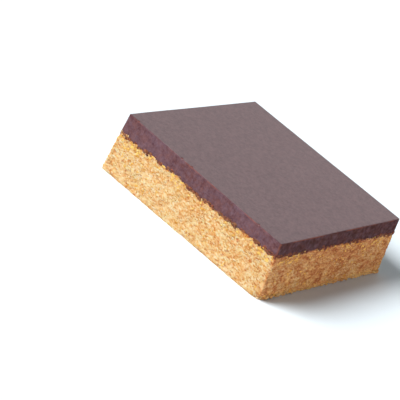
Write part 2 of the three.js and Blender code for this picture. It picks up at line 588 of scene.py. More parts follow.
    def block(self, name: str, low: float, high: float) -> bpy.types.Object:
        """Adds an upright block as wide and long as the cut, between two heights.

        Args:
            name: The new piece's name.
            low: The height of its underside.
            high: The height of its top.

        Returns:
            The piece, with its place and size in its mesh.
        """
        Bench.clear()
        place = Vector((self.middle[0], self.middle[1], (low + high) / 2)) * MM
        size = (self.length * MM, self.width * MM, (high - low) * MM)
        bpy.ops.mesh.primitive_cube_add(size=1.0, location=place, scale=size)
        bpy.ops.object.transform_apply(location=True, rotation=True, scale=True)
        piece = bpy.context.object
        piece.name = piece.data.name = name
        return piece


# --------------------------------------------------------------------------------------------------
# Finishes
# --------------------------------------------------------------------------------------------------


class NodeSheet:
    """A short way to lay out shader nodes in a material or a group."""

    def __init__(self, tree: bpy.types.NodeTree) -> None:
        """Starts on an empty tree."""
        self.tree = tree
        self.tree.nodes.clear()

    def add(self, kind: str, settings: dict[str, object] | None = None, **inputs: object) -> bpy.types.Node:
        """Adds one node, sets it up and feeds its sockets.

        Args:
            kind: The node's type, without the word ShaderNode.
            settings: The node's own properties.
            inputs: Values or sockets for its inputs, with _ for a space in a socket's name.

        Returns:
            The node.
        """
        node = self.tree.nodes.new("NodeGroup" + kind if kind in ("Input", "Output") else "ShaderNode" + kind)
        for key, value in (settings or {}).items():
            setattr(node, key, value)
        for key, value in inputs.items():
            self.feed(node.inputs[key.replace("_", " ")], value)
        return node

    def feed(self, socket: bpy.types.NodeSocket, value: object) -> None:
        """Links a socket to another, or sets it to a value.

        Args:
            socket: The socket to feed.
            value: The other socket, or the value.
        """
        if isinstance(value, bpy.types.NodeSocket):
            self.tree.links.new(value, socket)
        else:
            socket.default_value = value

    def maths(self, operation: str, first: object, second: object = 0.0, third: object = 0.0) -> object:
        """Adds a Math node.

        Args:
            operation: What it works out.
            first: Its first value or socket.
            second: Its second.
            third: Its third, for the few operations that have one.

        Returns:
            Its result.
        """
        node = self.add("Math", {"operation": operation})
        for socket, value in zip(node.inputs, (first, second, third)):
            self.feed(socket, value)
        return node.outputs[0]

    def mix(self, share: object, first: object, second: object, blend: str = "MIX") -> object:
        """Adds a colour Mix node.

        Args:
            share: How much of the second colour is mixed in.
            first: The first colour.
            second: The second colour.
            blend: How they are blended.

        Returns:
            Its colour.
        """
        node = self.add("Mix", {"data_type": "RGBA", "blend_type": blend})
        for place, value in ((MIX_SHARE, share), (MIX_FIRST, first), (MIX_SECOND, second)):
            self.feed(node.inputs[place], value)
        return node.outputs[MIX_RESULT]

    def colours(self, share: object, stops: list[tuple[float, Tint]]) -> object:
        """Adds a ramp through named tints.

        Args:
            share: The place on the ramp.
            stops: Places from 0 to 1 with their tints.

        Returns:
            Its colour.
        """
        node = self.add("ValToRGB", Fac=share)
        node.color_ramp.interpolation = "LINEAR"
        while len(node.color_ramp.elements) < len(stops):
            node.color_ramp.elements.new(1.0)
        for element, (place, tint) in zip(node.color_ramp.elements, stops):
            element.position = place
            element.color = tint.linear()
        return node.outputs["Color"]

    def spread(self, value: object, low: float, high: float, new_low: float, new_high: float) -> object:
        """Adds a Map Range node.

        Args:
            value: The number to map.
            low: The value that becomes new_low.
            high: The value that becomes new_high.
            new_low: The lower end of the result.
            new_high: The upper end.

        Returns:
            Its result.
        """
        node = self.add("MapRange", Value=value, From_Min=low, From_Max=high, To_Min=new_low, To_Max=new_high)
        return node.outputs["Result"]


class Effects:
    """The shader groups that several finishes share. Each is made once."""

    @staticmethod
    def _sheet(name: str, takes: dict[str, float], gives: Iterable[str]) -> NodeSheet | None:
        """Starts a group of number sockets, or gives None where it is there already.

        Args:
            name: The group's name.
            takes: Its inputs and their usual values.
            gives: Its outputs.

        Returns:
            The sheet to lay its nodes out on.
        """
        if name in bpy.data.node_groups:
            return None
        tree = bpy.data.node_groups.new(name, "ShaderNodeTree")
        for key, value in takes.items():
            socket = tree.interface.new_socket(key, in_out="INPUT", socket_type="NodeSocketFloat")
            socket.default_value = value
        for key in gives:
            tree.interface.new_socket(key, in_out="OUTPUT", socket_type="NodeSocketFloat")
        return NodeSheet(tree)

    @staticmethod
    def grit() -> bpy.types.NodeTree:
        """Makes the fine crumb: specks of many tones, with small pits here and there.

        Returns:
            A group that takes Grain and Pit Share, and gives Tone, Pit and Height.
        """
        name = "Fine grit"
        sheet = Effects._sheet(name, {"Grain": 2400.0, "Pit Share": 0.3}, ("Tone", "Pit", "Height"))
        if sheet is None:
            return bpy.data.node_groups[name]
        given = sheet.add("Input").outputs
        place = sheet.add("TexCoord").outputs["Object"]
        pit_spacing, pit_width, pit_steepness, tone_height = 0.42, 1.6, 7.0, 0.6
        bend = sheet.add("TexNoise", Vector=place, Scale=1100.0, Detail=1.0).outputs["Color"]
        shift = sheet.add("VectorMath", {"operation": "SCALE"}, Vector=bend, Scale=0.0005).outputs[0]
        bent = sheet.add("VectorMath", {"operation": "ADD"})
        sheet.feed(bent.inputs[0], place)
        sheet.feed(bent.inputs[1], shift)
        specks = sheet.add("TexVoronoi", Vector=bent.outputs[0], Scale=given["Grain"])
        tone = sheet.add("SeparateColor", Color=specks.outputs["Color"]).outputs["Red"]
        pressed = sheet.add("Mapping", Vector=bent.outputs[0], Scale=(0.8, 0.8, 1.7)).outputs[0]
        pit_scale = sheet.maths("MULTIPLY", given["Grain"], pit_spacing)
        holes = sheet.add("TexVoronoi", Vector=pressed, Scale=pit_scale)
        chance = sheet.add("SeparateColor", Color=holes.outputs["Color"]).outputs["Green"]
        reach = sheet.maths("MULTIPLY", sheet.maths("SUBTRACT", given["Pit Share"], chance), pit_width)
        inside = sheet.maths("SUBTRACT", reach, holes.outputs["Distance"])
        depth = sheet.maths("MULTIPLY", inside, pit_steepness)
        pit = sheet.add("Clamp", Value=depth).outputs[0]
        height = sheet.maths("SUBTRACT", sheet.maths("MULTIPLY", tone, tone_height), pit)
        out = sheet.add("Output")
        for key, socket in {"Tone": tone, "Pit": pit, "Height": height}.items():
            sheet.feed(out.inputs[key], socket)
        return bpy.data.node_groups[name]

    @staticmethod
    def mottle() -> bpy.types.NodeTree:
        """Makes the change of shade, about as strong at every size, that set and pressed food has.

        Returns:
            A group that takes Scale, Detail and Contrast, and gives Shade.
        """
        name = "Soft mottle"
        sheet = Effects._sheet(name, {"Scale": 60.0, "Detail": 5.0, "Contrast": 1.0}, ("Shade",))
        if sheet is None:
            return bpy.data.node_groups[name]
        given = sheet.add("Input").outputs
        place = sheet.add("TexCoord").outputs["Object"]
        noise = sheet.add(
            "TexNoise", Vector=place, Scale=given["Scale"], Detail=given["Detail"], Roughness=0.85
        ).outputs["Fac"]
        centred = sheet.maths("MULTIPLY", sheet.maths("SUBTRACT", noise, 0.5), given["Contrast"])
        shade = sheet.add("Clamp", Value=sheet.maths("ADD", centred, 0.5)).outputs[0]
        sheet.feed(sheet.add("Output").inputs["Shade"], shade)
        return bpy.data.node_groups[name]


def new_material(name: str) -> tuple[bpy.types.Material, NodeSheet]:
    """Starts a material.

    Args:
        name: The material's name.

    Returns:
        The material and its empty sheet of nodes.
    """
    material = bpy.data.materials.new(name)
    material.use_nodes = True
    return material, NodeSheet(material.node_tree)


@dataclass(frozen=True)
class CrumbFinish:
    """Pressed oat, nut or biscuit crumb, in many small tones.

    Attributes:
        name: The material's name.
        tints: The tints from the darkest tone to the palest.
        moist_and_shade_tints: The same where the crumb is moistened, and where the right side is painted as
            in shade.
        grain: How many fine specks there are in a metre.
        grain_share: How far the fine specks change the tone of a crumb.
        pit_share: How common fine pits are.
        bump: How deep the fine specks look.
        glow: How far light goes into the crumb and comes out again.
        fine_pit_shade: How dark the fine pits are painted, as painted shade.
        dull: How dull the darkest crumb is.
        sheen: How dull the palest is.
    """

    name: str
    tints: tuple[Tint, ...] = (Tint.TOASTED, Tint.GOLDEN, Tint.HONEY, Tint.CREAM, Tint.PALE_OAT)
    moist_and_shade_tints: tuple[Tint, ...] = (
        Tint.MOIST_BROWN,
        Tint.MOIST_TOASTED,
        Tint.MOIST_GOLDEN,
        Tint.MOIST_HONEY,
        Tint.MOIST_PALE,
    )
    grain: float = 2400.0
    grain_share: float = 0.44
    pit_share: float = 0.36
    bump: float = 0.4
    glow: float = 0.5
    fine_pit_shade: float = 0.7
    dull: float = 0.8
    sheen: float = 0.6

    def material(self) -> bpy.types.Material:
        """Builds the crumb's material, which reads each vertex's tone, its painted shade of pits and
        undersides, its moistness with the right side's painted shade, and its soak.

        Returns:
            The material.
        """
        material, sheet = new_material(self.name)
        # Read in order: the tone, the painted shade of pits, hollows and undersides, the moistness with the
        # right side's painted shade, and the soak.
        tone, hole, moist, soak = (
            sheet.add("Attribute", {"attribute_name": name}).outputs["Fac"]
            for name in ("tone", "pit", "moist", "soak")
        )
        grit = sheet.add("Group", {"node_tree": Effects.grit()}, Grain=self.grain, Pit_Share=self.pit_share)
        mottle = sheet.add("Group", {"node_tree": Effects.mottle()}, Scale=150.0, Detail=3.0, Contrast=0.5)
        speck = sheet.maths("MULTIPLY", sheet.maths("SUBTRACT", grit.outputs["Tone"], 0.5), self.grain_share)
        slow = sheet.maths("SUBTRACT", mottle.outputs["Shade"], 0.5)
        full = sheet.maths("ADD", sheet.maths("ADD", tone, speck), slow)
        places = [float(place) for place in np.linspace(0.0, 1.0, len(self.tints))]
        dry_colour = sheet.colours(full, list(zip(places, self.tints)))
        moist_colour = sheet.colours(full, list(zip(places, self.moist_and_shade_tints)))
        # Moistened crumb and the right side's painted shade both take the moist tints.
        colour = sheet.mix(moist, dry_colour, moist_colour)
        # Painted shade: pits, fine pits and the undersides of crumbs are darkened towards a brown.
        dark = sheet.maths("MAXIMUM", hole, sheet.maths("MULTIPLY", grit.outputs["Pit"], self.fine_pit_shade))
        colour = sheet.mix(dark, colour, Tint.BROWN_PIT.linear())
        soaked = sheet.colours(grit.outputs["Tone"], [(0.2, Tint.SOAKED), (0.95, Tint.SOAKED_PALE)])
        colour = sheet.mix(soak, colour, soaked)
        rough = sheet.spread(full, 0.0, 1.0, self.dull, self.sheen)
        bump = sheet.add("Bump", Strength=self.bump, Distance=0.0002, Height=grit.outputs["Height"])
        shader = sheet.add("BsdfPrincipled", Base_Color=colour, Roughness=rough, Normal=bump.outputs[0])
        shader.inputs["Subsurface Weight"].default_value = self.glow
        shader.inputs["Subsurface Radius"].default_value = (1.0, 0.45, 0.2)
        shader.inputs["Subsurface Scale"].default_value = 0.0006
        shader.inputs["IOR"].default_value = 1.45
        sheet.feed(sheet.add("OutputMaterial").inputs["Surface"], shader.outputs[0])
        return material


@dataclass(frozen=True)
class ChocolateFinish:
    """Set dark chocolate, on its smooth top or on a cut side.

    Attributes:
        name: The material's name.
        dark: The tint where it is darkest.
        pale: The tint where it is palest.
        brown: The palest tint in the browner patches.
        roughness: How dull it is.
        gloss: How strongly it mirrors, where 0.5 is usual.
        mottling: How strongly its shade changes from place to place.
        grain: How many of the changes there are in a metre.
        streaks: How strongly upright knife streaks show.
        bump: How deep its fine unevenness looks.
    """

    name: str
    dark: Tint
    pale: Tint
    brown: Tint
    roughness: float
    gloss: float
    mottling: float
    grain: float
    streaks: float
    bump: float

    def material(self) -> bpy.types.Material:
        """Builds the chocolate's material, which reads each vertex's rim (a painted highlight, with pale
        nicks), the right side's painted shade and the haze.

        Returns:
            The material.
        """
        material, sheet = new_material(self.name)
        rim, smear, haze = (
            sheet.add("Attribute", {"attribute_name": name}).outputs["Fac"]
            for name in ("rim", "smear", "haze")
        )
        mottle = sheet.add(
            "Group", {"node_tree": Effects.mottle()}, Scale=self.grain, Detail=5.0, Contrast=self.mottling
        ).outputs["Shade"]
        patch = sheet.add(
            "Group", {"node_tree": Effects.mottle()}, Scale=380.0, Detail=3.0, Contrast=4.0
        ).outputs["Shade"]
        place = sheet.add("TexCoord").outputs["Object"]
        drawn = sheet.add("Mapping", Vector=place, Scale=(1.0, 1.0, 0.1)).outputs[0]
        streak = sheet.add("TexNoise", Vector=drawn, Scale=2300.0, Detail=2.0, Roughness=0.6).outputs["Fac"]
        share = sheet.maths("MULTIPLY", sheet.maths("SUBTRACT", streak, 0.5), self.streaks)
        shade = sheet.add("Clamp", Value=sheet.maths("ADD", mottle, share)).outputs[0]
        colour = sheet.colours(shade, [(0.1, self.dark), (0.9, self.pale)])
        browner = sheet.colours(shade, [(0.1, self.dark), (0.9, self.brown)])
        colour = sheet.mix(patch, colour, browner)
        colour = sheet.mix(haze, colour, Tint.CHOCOLATE_HAZE.linear())
        # Painted shade over the right side.
        colour = sheet.mix(smear, colour, Tint.CHOCOLATE_SMEARED.linear(), "MULTIPLY")
        # Painted highlight along the rim, with the pale nicks.
        colour = sheet.mix(rim, colour, Tint.CHOCOLATE_RIM.linear())
        uneven = 0.06
        rough = sheet.spread(shade, 0.0, 1.0, self.roughness - uneven, self.roughness + uneven)
        bump = sheet.add("Bump", Strength=self.bump, Distance=0.0001, Height=shade)
        shader = sheet.add("BsdfPrincipled", Base_Color=colour, Roughness=rough, Normal=bump.outputs[0])
        shader.inputs["IOR"].default_value = 1.5
        shader.inputs["Specular IOR Level"].default_value = self.gloss
        sheet.feed(sheet.add("OutputMaterial").inputs["Surface"], shader.outputs[0])
        return material


def finish_piece(piece: bpy.types.Object, layer: Layer, materials: list[bpy.types.Material]) -> None:
    """Gives a piece its materials, ties it to the body, and hides the frame's node that it stands in for.

    Args:
        piece: The finished piece.
        layer: The layer of the bar that it is part of.
        materials: Its materials, in the order of its faces' slots.
    """
    piece.data.materials.clear()
    for material in materials:
        piece.data.materials.append(material)
    node, slot = layer.value
    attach(piece, BODY)
    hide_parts(node)


# --------------------------------------------------------------------------------------------------
# The pressed crumb
# --------------------------------------------------------------------------------------------------


@dataclass(frozen=True)
class CrumbRelief:
    """The face that a knife leaves on pressed crumb: mostly flush, with pits and tilted facets.

    Attributes:
        clump: The crumbs of about 3 mm that hold together.
        crumb: The crumbs themselves.
        grit: The fine broken bits.
        hole: Where a crumb may have dropped out.
        open_patches: Where the gaps between crumbs stand open.
        open_from: The height of those waves where the gaps start to open, and where they are quite open.
        clump_step: How far clumps stand higher or lower than their neighbours.
        crumb_step: How far crumbs do.
        crumb_tilt: How far a crumb's facet tilts.
        grit_step: How far fine bits do.
        gap_depth: How deep the gaps between crumbs are.
        clump_gap: How deep the gaps between clumps are, as a share of that.
        gap_width: How wide they are, in cells.
        hole_share: How many of the places have a hole.
        hole_reach: How wide a hole is from its middle.
        hole_edge: Where a hole's floor ends and where its rim does, as shares of its reach.
        hole_depth: How deep it is.
        flush: How far a crumb may stand out of the cut.
        give: How much of what stands out farther is left.
        tones: How strongly clumps, crumbs and grit differ in tone.
        shade_depths: Between which depths the crumb is painted dark, as painted shade in its hollows.
        shade_share: How dark that painted shade makes it.
        darkest: How dark the painted shade gets anywhere, holes included.
    """

    clump: CellField = CellField(size=2.8, seed=11, flatness=1.6)
    crumb: CellField = CellField(size=1.05, seed=12, flatness=1.9)
    grit: CellField = CellField(size=0.55, seed=13, flatness=1.7)
    hole: CellField = CellField(size=1.8, seed=14, flatness=1.9)
    open_patches: SoftNoise = SoftNoise(size=1.6, seed=15)
    open_from: tuple[float, float] = (-0.2, 0.5)
    clump_step: float = 0.08
    crumb_step: float = 0.12
    crumb_tilt: float = 0.11
    grit_step: float = 0.07
    gap_depth: float = 0.09
    clump_gap: float = 0.4
    gap_width: float = 0.15
    hole_share: float = 0.4
    hole_reach: float = 0.4
    hole_edge: tuple[float, float] = (0.35, 1.0)
    hole_depth: float = 0.16
    flush: float = 0.05
    give: float = 0.2
    tones: tuple[float, float, float] = (0.12, 0.38, 0.52)
    shade_depths: tuple[float, float] = (0.12, 0.3)
    shade_share: float = 0.5
    darkest: float = 0.95

    def at(self, points: Array) -> tuple[Array, Array, Array]:
        """Works out the relief at each point.

        Args:
            points: Places on the cut in millimetres, one row each.

        Returns:
            The height outwards in millimetres, the tone from 0 to 1, and the painted shade of holes and
            hollows from 0 to 1.
        """
        near, after, cell, _ = self.clump.nearest(points)
        edge = ramp(after - near, 0, self.gap_width)
        height = self.clump_step * (self.clump.draw(cell, Trait.STEP) - 0.5) * edge
        height -= self.clump_gap * self.gap_depth * (1 - edge)
        tone = 0.5 + self.tones[0] * (self.clump.draw(cell, Trait.TONE) - 0.5)

        near, after, cell, step = self.crumb.nearest(points)
        open_here = ramp(self.open_patches.at(points), *self.open_from)
        edge = ramp(after - near, 0, self.gap_width)
        tilts = np.stack([self.crumb.draw(cell, k) - 0.5 for k in Trait.tilts()], axis=1)
        facet = self.crumb_step * (self.crumb.draw(cell, Trait.STEP) - 0.5)
        facet += self.crumb_tilt * (tilts * step).sum(axis=1)
        height += facet * edge - self.gap_depth * (1 - edge) * open_here
        tone += self.tones[1] * (self.crumb.draw(cell, Trait.TONE) - 0.5)

        near, after, cell, _ = self.grit.nearest(points)
        edge = ramp(after - near, 0, self.gap_width)
        height += self.grit_step * (self.grit.draw(cell, Trait.STEP) * edge - 0.5)
        tone += self.tones[2] * (self.grit.draw(cell, Trait.TONE) - 0.5)

        near, _, cell, _ = self.hole.nearest(points)
        is_open = self.hole.draw(cell, Trait.STEP) < self.hole_share
        reach = self.hole_reach * (0.5 + 0.5 * self.hole.draw(cell, Trait.EXTENT))
        hole = is_open * (1 - ramp(near * self.hole.size / reach, *self.hole_edge))
        height -= self.hole_depth * hole

        over = height > self.flush
        height[over] = self.flush + self.give * (height[over] - self.flush)
        # Painted shade: holes and low places are marked darker.
        pit = np.clip(hole + self.shade_share * ramp(-height, *self.shade_depths), 0, self.darkest)
        return height, tone, pit


@dataclass
class CrumbShade:
    """The crumb's paleness and moistness from place to place, with painted light towards the foot, and
    painted shade over the right side and where crumb faces down.

    Attributes:
        cut: The knife's cut.
        right_turn: Where, measured out of the right side, the other sides' shade turns into its own.
        near_turn: How far to the near side the patch starts and is full, as a share of the width.
        bake_bits: The crumbs that browned more or less than their neighbours.
        bake_waves: The patches that did.
        bake_shares: How strongly each of the two shows on the right side.
        bake_elsewhere: How much of that the other sides have.
        moist_bits: The crumbs that are moister or drier than their neighbours.
        broad_waves: The broad patches of moister crumb.
        small_waves: The small ones.
        moist_weights: How much the broad patches, the small ones and the crumbs count.
        moist_spread: The sum of them that makes a patch quite dry or quite moist.
        moist_and_shade_least: How far the right side is moistened and painted as in shade, at least.
        moist_patches: How much more in its patches.
        painted_shade_up: How much more painted shade towards its top.
        foot_light_warmth: How much more at its foot, which warms the painted light there.
        foot_light_warmth_height: How high that reaches.
        moist_elsewhere: How far the patches of the other sides are moistened.
        syrup_place: Where the right side has its syrupy brown patch, along it from its middle.
        syrup_reach: How far the patch reaches to each side.
        syrup_unevenness: How far the broad patches move its edge.
        syrup_more: How much moister it is.
        painted_foot_light_share: How much paler the right side is painted at its foot, as painted light.
        painted_foot_light_heights: Where that is full and where it ends.
        patch_place: The middle of the near side's broad dry patch, along it from its middle and up.
        patch_reach: How far the patch reaches along and up.
        patch_pale: How much paler it is.
        painted_low_light: How much paler all sides are painted towards the foot, as painted light.
        painted_low_light_heights: Where that is full and where it ends.
        golden_share: How much darker the crumb is just under the chocolate.
        golden_depths: Where that starts and is full, from the seam.
        underside_shade_most: How dark the painted shade is where the crumb faces down.
        underside_shade_slopes: How steeply down it faces where that starts and is full.
    """

    cut: BarCut
    right_turn: tuple[float, float] = (-1.0, -0.2)
    near_turn: tuple[float, float] = (0.4, 0.49)
    bake_bits: CellField = CellField(size=1.8, seed=44, flatness=2.0)
    bake_waves: SoftNoise = SoftNoise(size=2.4, seed=45)
    bake_shares: tuple[float, float] = (0.65, 0.3)
    bake_elsewhere: float = 0.25
    moist_bits: CellField = CellField(size=1.6, seed=43, flatness=2.0)
    broad_waves: SoftNoise = SoftNoise(size=3.6, seed=41)
    small_waves: SoftNoise = SoftNoise(size=1.1, seed=42)
    moist_weights: tuple[float, float, float] = (0.5, 0.7, 0.9)
    moist_spread: float = 0.75
    moist_and_shade_least: float = 0.62
    moist_patches: float = 0.42
    painted_shade_up: float = 0.1
    foot_light_warmth: float = 0.3
    foot_light_warmth_height: float = 3.0
    moist_elsewhere: float = 0.3
    syrup_place: float = -4.0
    syrup_reach: float = 8.0
    syrup_unevenness: float = 0.3
    syrup_more: float = 0.25
    painted_foot_light_share: float = 0.3
    painted_foot_light_heights: tuple[float, float] = (-0.6, 3.2)
    patch_place: tuple[float, float] = (-17.0, 6.5)
    patch_reach: tuple[float, float] = (13.0, 7.0)
    patch_pale: float = 0.14
    painted_low_light: float = 0.14
    painted_low_light_heights: tuple[float, float] = (0.3, 5.0)
    golden_share: float = 0.06
    golden_depths: tuple[float, float] = (-2.2, -0.3)
    underside_shade_most: float = 0.7
    underside_shade_slopes: tuple[float, float] = (0.05, 0.6)

    def on_right(self, points: Array) -> Array:
        """Gives 1 on the right side and 0 on the others, with a smooth turn at the corners."""
        return ramp(self.cut.past_right(points), *self.right_turn)

    def painted_underside_shade(self, way_out: Array) -> Array:
        """Gives the painted shade of crumb that faces down, darker the steeper it faces down."""
        return self.underside_shade_most * ramp(-way_out[:, 2], *self.underside_shade_slopes)

    def uneven_bake(self, points: Array) -> Array:
        """Gives how much paler or darker the crumb is than usual, which differs most on the right side.

        Args:
            points: Places in millimetres, one row each.

        Returns:
            A change of tone for each row.
        """
        share = self.bake_elsewhere + (1 - self.bake_elsewhere) * self.on_right(points)
        _, _, cell, _ = self.bake_bits.nearest(points)
        by_crumb = self.bake_bits.draw(cell, Trait.STEP) - 0.5
        return share * (self.bake_shares[0] * by_crumb + self.bake_shares[1] * self.bake_waves.at(points))

    def painted_foot_light(self, points: Array) -> Array:
        """Gives how much paler the right side's crumb is painted towards its foot, as painted light."""
        low = 1 - ramp(points[:, 2], *self.painted_foot_light_heights)
        return self.painted_foot_light_share * self.on_right(points) * low

    def pale_patch(self, points: Array) -> Array:
        """Gives how much paler the crumb is in the broad dry patch of the near side.

        Args:
            points: Places in millimetres, one row each.

        Returns:
            A change of tone for each row.
        """
        on_near = ramp(-(points[:, 1] - self.cut.middle[1]) / self.cut.width, *self.near_turn)
        along = (points[:, 0] - self.cut.middle[0] - self.patch_place[0]) / self.patch_reach[0]
        up = (points[:, 2] - self.patch_place[1]) / self.patch_reach[1]
        return self.patch_pale * on_near * (1 - ramp(np.hypot(along, up), *SOFT_PATCH))

    def tone(self, points: Array, seam: Array) -> Array:
        """Gives the whole change of tone of the crumb, with the painted light towards the foot.

        Args:
            points: Places in millimetres, one row each.
            seam: The height of the seam above each.

        Returns:
            A change of tone for each row.
        """
        golden = self.golden_share * ramp(points[:, 2] - seam, *self.golden_depths)
        # Painted light: every side is paler towards its foot.
        dry = self.painted_low_light * (1 - ramp(points[:, 2], *self.painted_low_light_heights))
        return dry - golden + self.pale_patch(points) + self.painted_foot_light(points) + self.uneven_bake(points)

    def moist(self, points: Array) -> Array:
        """Gives how moistened and brown the crumb is, with the right side's painted shade: most on the right
        side, and elsewhere in soft patches.

        Args:
            points: Places in millimetres, one row each.

        Returns:
            A number from 0 to 1 for each row.
        """
        broad, small = self.broad_waves.at(points), self.small_waves.at(points)
        _, _, cell, _ = self.moist_bits.nearest(points)
        by_crumb = self.moist_bits.draw(cell, Trait.STEP) - 0.5
        weights = self.moist_weights
        waves = weights[0] * broad + weights[1] * small + weights[2] * by_crumb
        patch = ramp(waves, -self.moist_spread, self.moist_spread)
        from_syrup = np.abs(points[:, 1] - self.cut.middle[1] - self.syrup_place) / self.syrup_reach
        syrup = 1 - ramp(from_syrup + self.syrup_unevenness * broad, *SOFT_PATCH)
        # On the right side this is also painted shade: the whole side is painted browner and darker.
        at_right = self.moist_and_shade_least + self.moist_patches * patch + self.syrup_more * syrup
        # Painted shade that grows towards the right side's top.
        at_right += self.painted_shade_up * ramp(points[:, 2], 0, self.cut.height)
        # Warmer towards the foot, with the painted light there.
        at_right += self.foot_light_warmth * (1 - ramp(points[:, 2], 0, self.foot_light_warmth_height))
        right = self.on_right(points)
        return np.clip(right * at_right + (1 - right) * self.moist_elsewhere * patch, 0, 1)


@dataclass
class PressedCrumb:
    """The slab of pressed crumb, with its four rough cut sides and its flat underside.

    Attributes:
        cut: The knife's cut.
        shade: How pale and how moistened the crumb is, with its painted light and painted shade.
        relief: The rough face that the knife left.
        tuck: How far above the seam the sides reach, out of sight behind the chocolate.
        tuck_start: Where above the seam the sides start to go in.
        rounds: How the sides are divided along X, Y and Z, each in rounds.
        corner_round: The rounding of the upright corners.
        end_rim: How wide the slab's ends are inside their rims, as a share.
        lost_reach: How far from the near right corner of the foot the crumb has broken away.
        lost_depth: How deep it has broken away there.
        lost_waves: How unevenly.
        lost_unevenness: How strongly that shows.
        chip_height: How high the crumbled edge of the foot reaches.
        chip_depth: How deep the foot's edge has crumbled on the right side, where it is worst.
        chip_waves: Where more and less of it has crumbled.
        chip_raggedness: How much has crumbled in the main, and how much the waves change that.
        chip_turn: Where, measured out of the right side, the other sides' wear turns into its own.
        clean_share: How much of the wear the other sides have.
        soak_height: How high and low of the seam chocolate has soaked into single crumbs.
        soak_waves: Where it has soaked in farther.
        soak_blend: How gradually the soaked crumb starts.
        soak_most: How dark soaked crumb is.
    """

    cut: BarCut
    shade: CrumbShade
    relief: CrumbRelief = field(default_factory=CrumbRelief)
    tuck: float = 0.9
    tuck_start: float = 0.1
    rounds: tuple[tuple[int, ...], ...] = ((12, 23), (12, 22), (66,))
    corner_round: float = 0.22
    end_rim: float = 0.97
    lost_reach: float = 3.4
    lost_depth: float = 1.0
    lost_waves: SoftNoise = SoftNoise(size=1.1, seed=33)
    lost_unevenness: float = 0.15
    chip_height: float = 0.7
    chip_depth: float = 0.45
    chip_waves: SoftNoise = SoftNoise(size=1.4, seed=31)
    chip_raggedness: tuple[float, float] = (0.7, 0.8)
    chip_turn: tuple[float, float] = (-1.2, -0.3)
    clean_share: float = 0.4
    soak_height: float = 0.5
    soak_waves: SoftNoise = SoftNoise(size=0.8, seed=32)
    soak_blend: float = 0.15
    soak_most: float = 0.9

    def build(self) -> bpy.types.Object:
        """Builds and dresses the slab.

        Returns:
            The finished slab.
        """
        piece = self.cut.block("pressed_crumb", low=0.0, high=self.cut.height)
        Bench.open(piece)
        Bench.pick(piece, Element.FACES, lambda face: abs(face.normal.z) > UPRIGHT_ENOUGH)
        Bench.round_and_divide(piece, rounding=self.corner_round, rounds=self.rounds, longer_than=2.0)
        self._carve(piece)
        self.cut.lean_over(piece)
        self._close_ends(piece)
        Bench.clear()
        piece.select_set(True)
        bpy.ops.object.shade_smooth()
        finish_piece(piece, Layer.CRUMB, [CrumbFinish("pressed oat crumb").material()])
        return piece

    def worn_away(self, points: Array) -> Array:
        """Gives how deep the foot's edge has crumbled away.

        Args:
            points: Places in millimetres, one row each.

        Returns:
            A depth in millimetres for each row.
        """
        low = 1 - ramp(points[:, 2], 0, self.chip_height)
        share = self.clean_share + (1 - self.clean_share) * ramp(self.cut.past_right(points), *self.chip_turn)
        ragged = self.chip_raggedness[0] + self.chip_raggedness[1] * self.chip_waves.at(points)
        return self.chip_depth * low * share * np.clip(ragged, 0, None)

    def lost_corner(self, points: Array) -> Array:
        """Gives how the crumb moves inwards where the foot's near right corner has broken away.

        Args:
            points: Places in millimetres, one row each.

        Returns:
            A step in millimetres for each row.
        """
        corner = self.cut.near_right_corner()
        near = ramp(-np.linalg.norm(points - corner, axis=1), -self.lost_reach, 0)
        depth = self.lost_depth * near * (1 + self.lost_unevenness * self.lost_waves.at(points))
        inwards = -(self.cut.way_out(Side.NEAR) + self.cut.way_out(Side.RIGHT)) / math.sqrt(2)
        return np.outer(depth, inwards)

    def _carve(self, piece: bpy.types.Object) -> None:
        """Moves the sides into the crumb's relief and marks each vertex for the finish.

        Args:
            piece: The upright block, divided.
        """
        points, way_out = Bench.points(piece), Bench.outwards(piece)
        way_out[:, 2] = 0
        way_out /= np.linalg.norm(way_out, axis=1)[:, None]
        seam = self.cut.seam_at_cut(points)
        points[:, 2] *= (seam + self.tuck) / self.cut.height
        height, tone, pit = self.relief.at(points)
        height -= self.worn_away(points)
        above_seam = points[:, 2] - seam
        height -= ramp(above_seam, self.tuck_start, self.tuck)
        soaked_up = above_seam + self.soak_height * self.soak_waves.at(points)
        soak = self.soak_most * ramp(soaked_up, -self.soak_blend, self.soak_blend)
        # The tone also carries painted light: the crumb is paler towards the foot.
        Bench.mark(piece, "tone", tone + self.shade.tone(points, seam))
        # Moistness, with the right side's painted shade.
        Bench.mark(piece, "moist", self.shade.moist(points))
        Bench.mark(piece, "soak", soak)
        Bench.set_points(piece, points + way_out * height[:, None] + self.lost_corner(points))
        # The slab's painted shade: its pits and hollows, and where it faces down.
        Bench.mark(piece, "pit", np.maximum(pit, self.shade.painted_underside_shade(Bench.outwards(piece))))

    def _close_ends(self, piece: bpy.types.Object) -> None:
        """Closes the slab's underside and its hidden top.

        Args:
            piece: The slab.
        """
        Bench.open(piece)
        middle = max(vertex.co.z for vertex in piece.data.vertices) / 2
        Bench.cap(piece, lambda edge: edge.is_boundary and edge.verts[0].co.z < middle, self.end_rim)
        Bench.cap(piece, lambda edge: edge.is_boundary, self.end_rim)
        Bench.face_outwards(piece)
        Bench.close()


# --------------------------------------------------------------------------------------------------
# The bits pressed into the crumb
# --------------------------------------------------------------------------------------------------


class BitShape(Enum):
    """The three shapes of the bits, as the name, the proportions and the unevenness of each."""

    FLAKE = ("oat flake", (1.0, 0.62, 0.26), 0.05)
    CHIP = ("nut chip", (1.15, 0.9, 0.7), 0.13)
    GRAIN = ("round crumb", (1.0, 0.85, 0.75), 0.15)


class BitPlace(Enum):
    """Where a kind of bit lies on the cut sides."""

    FACE = "all over the crumb"
    SEAM = "along the seam"
    FOOT = "along the foot's edge"
    CAUGHT = "caught in the chocolate at the near left corner"


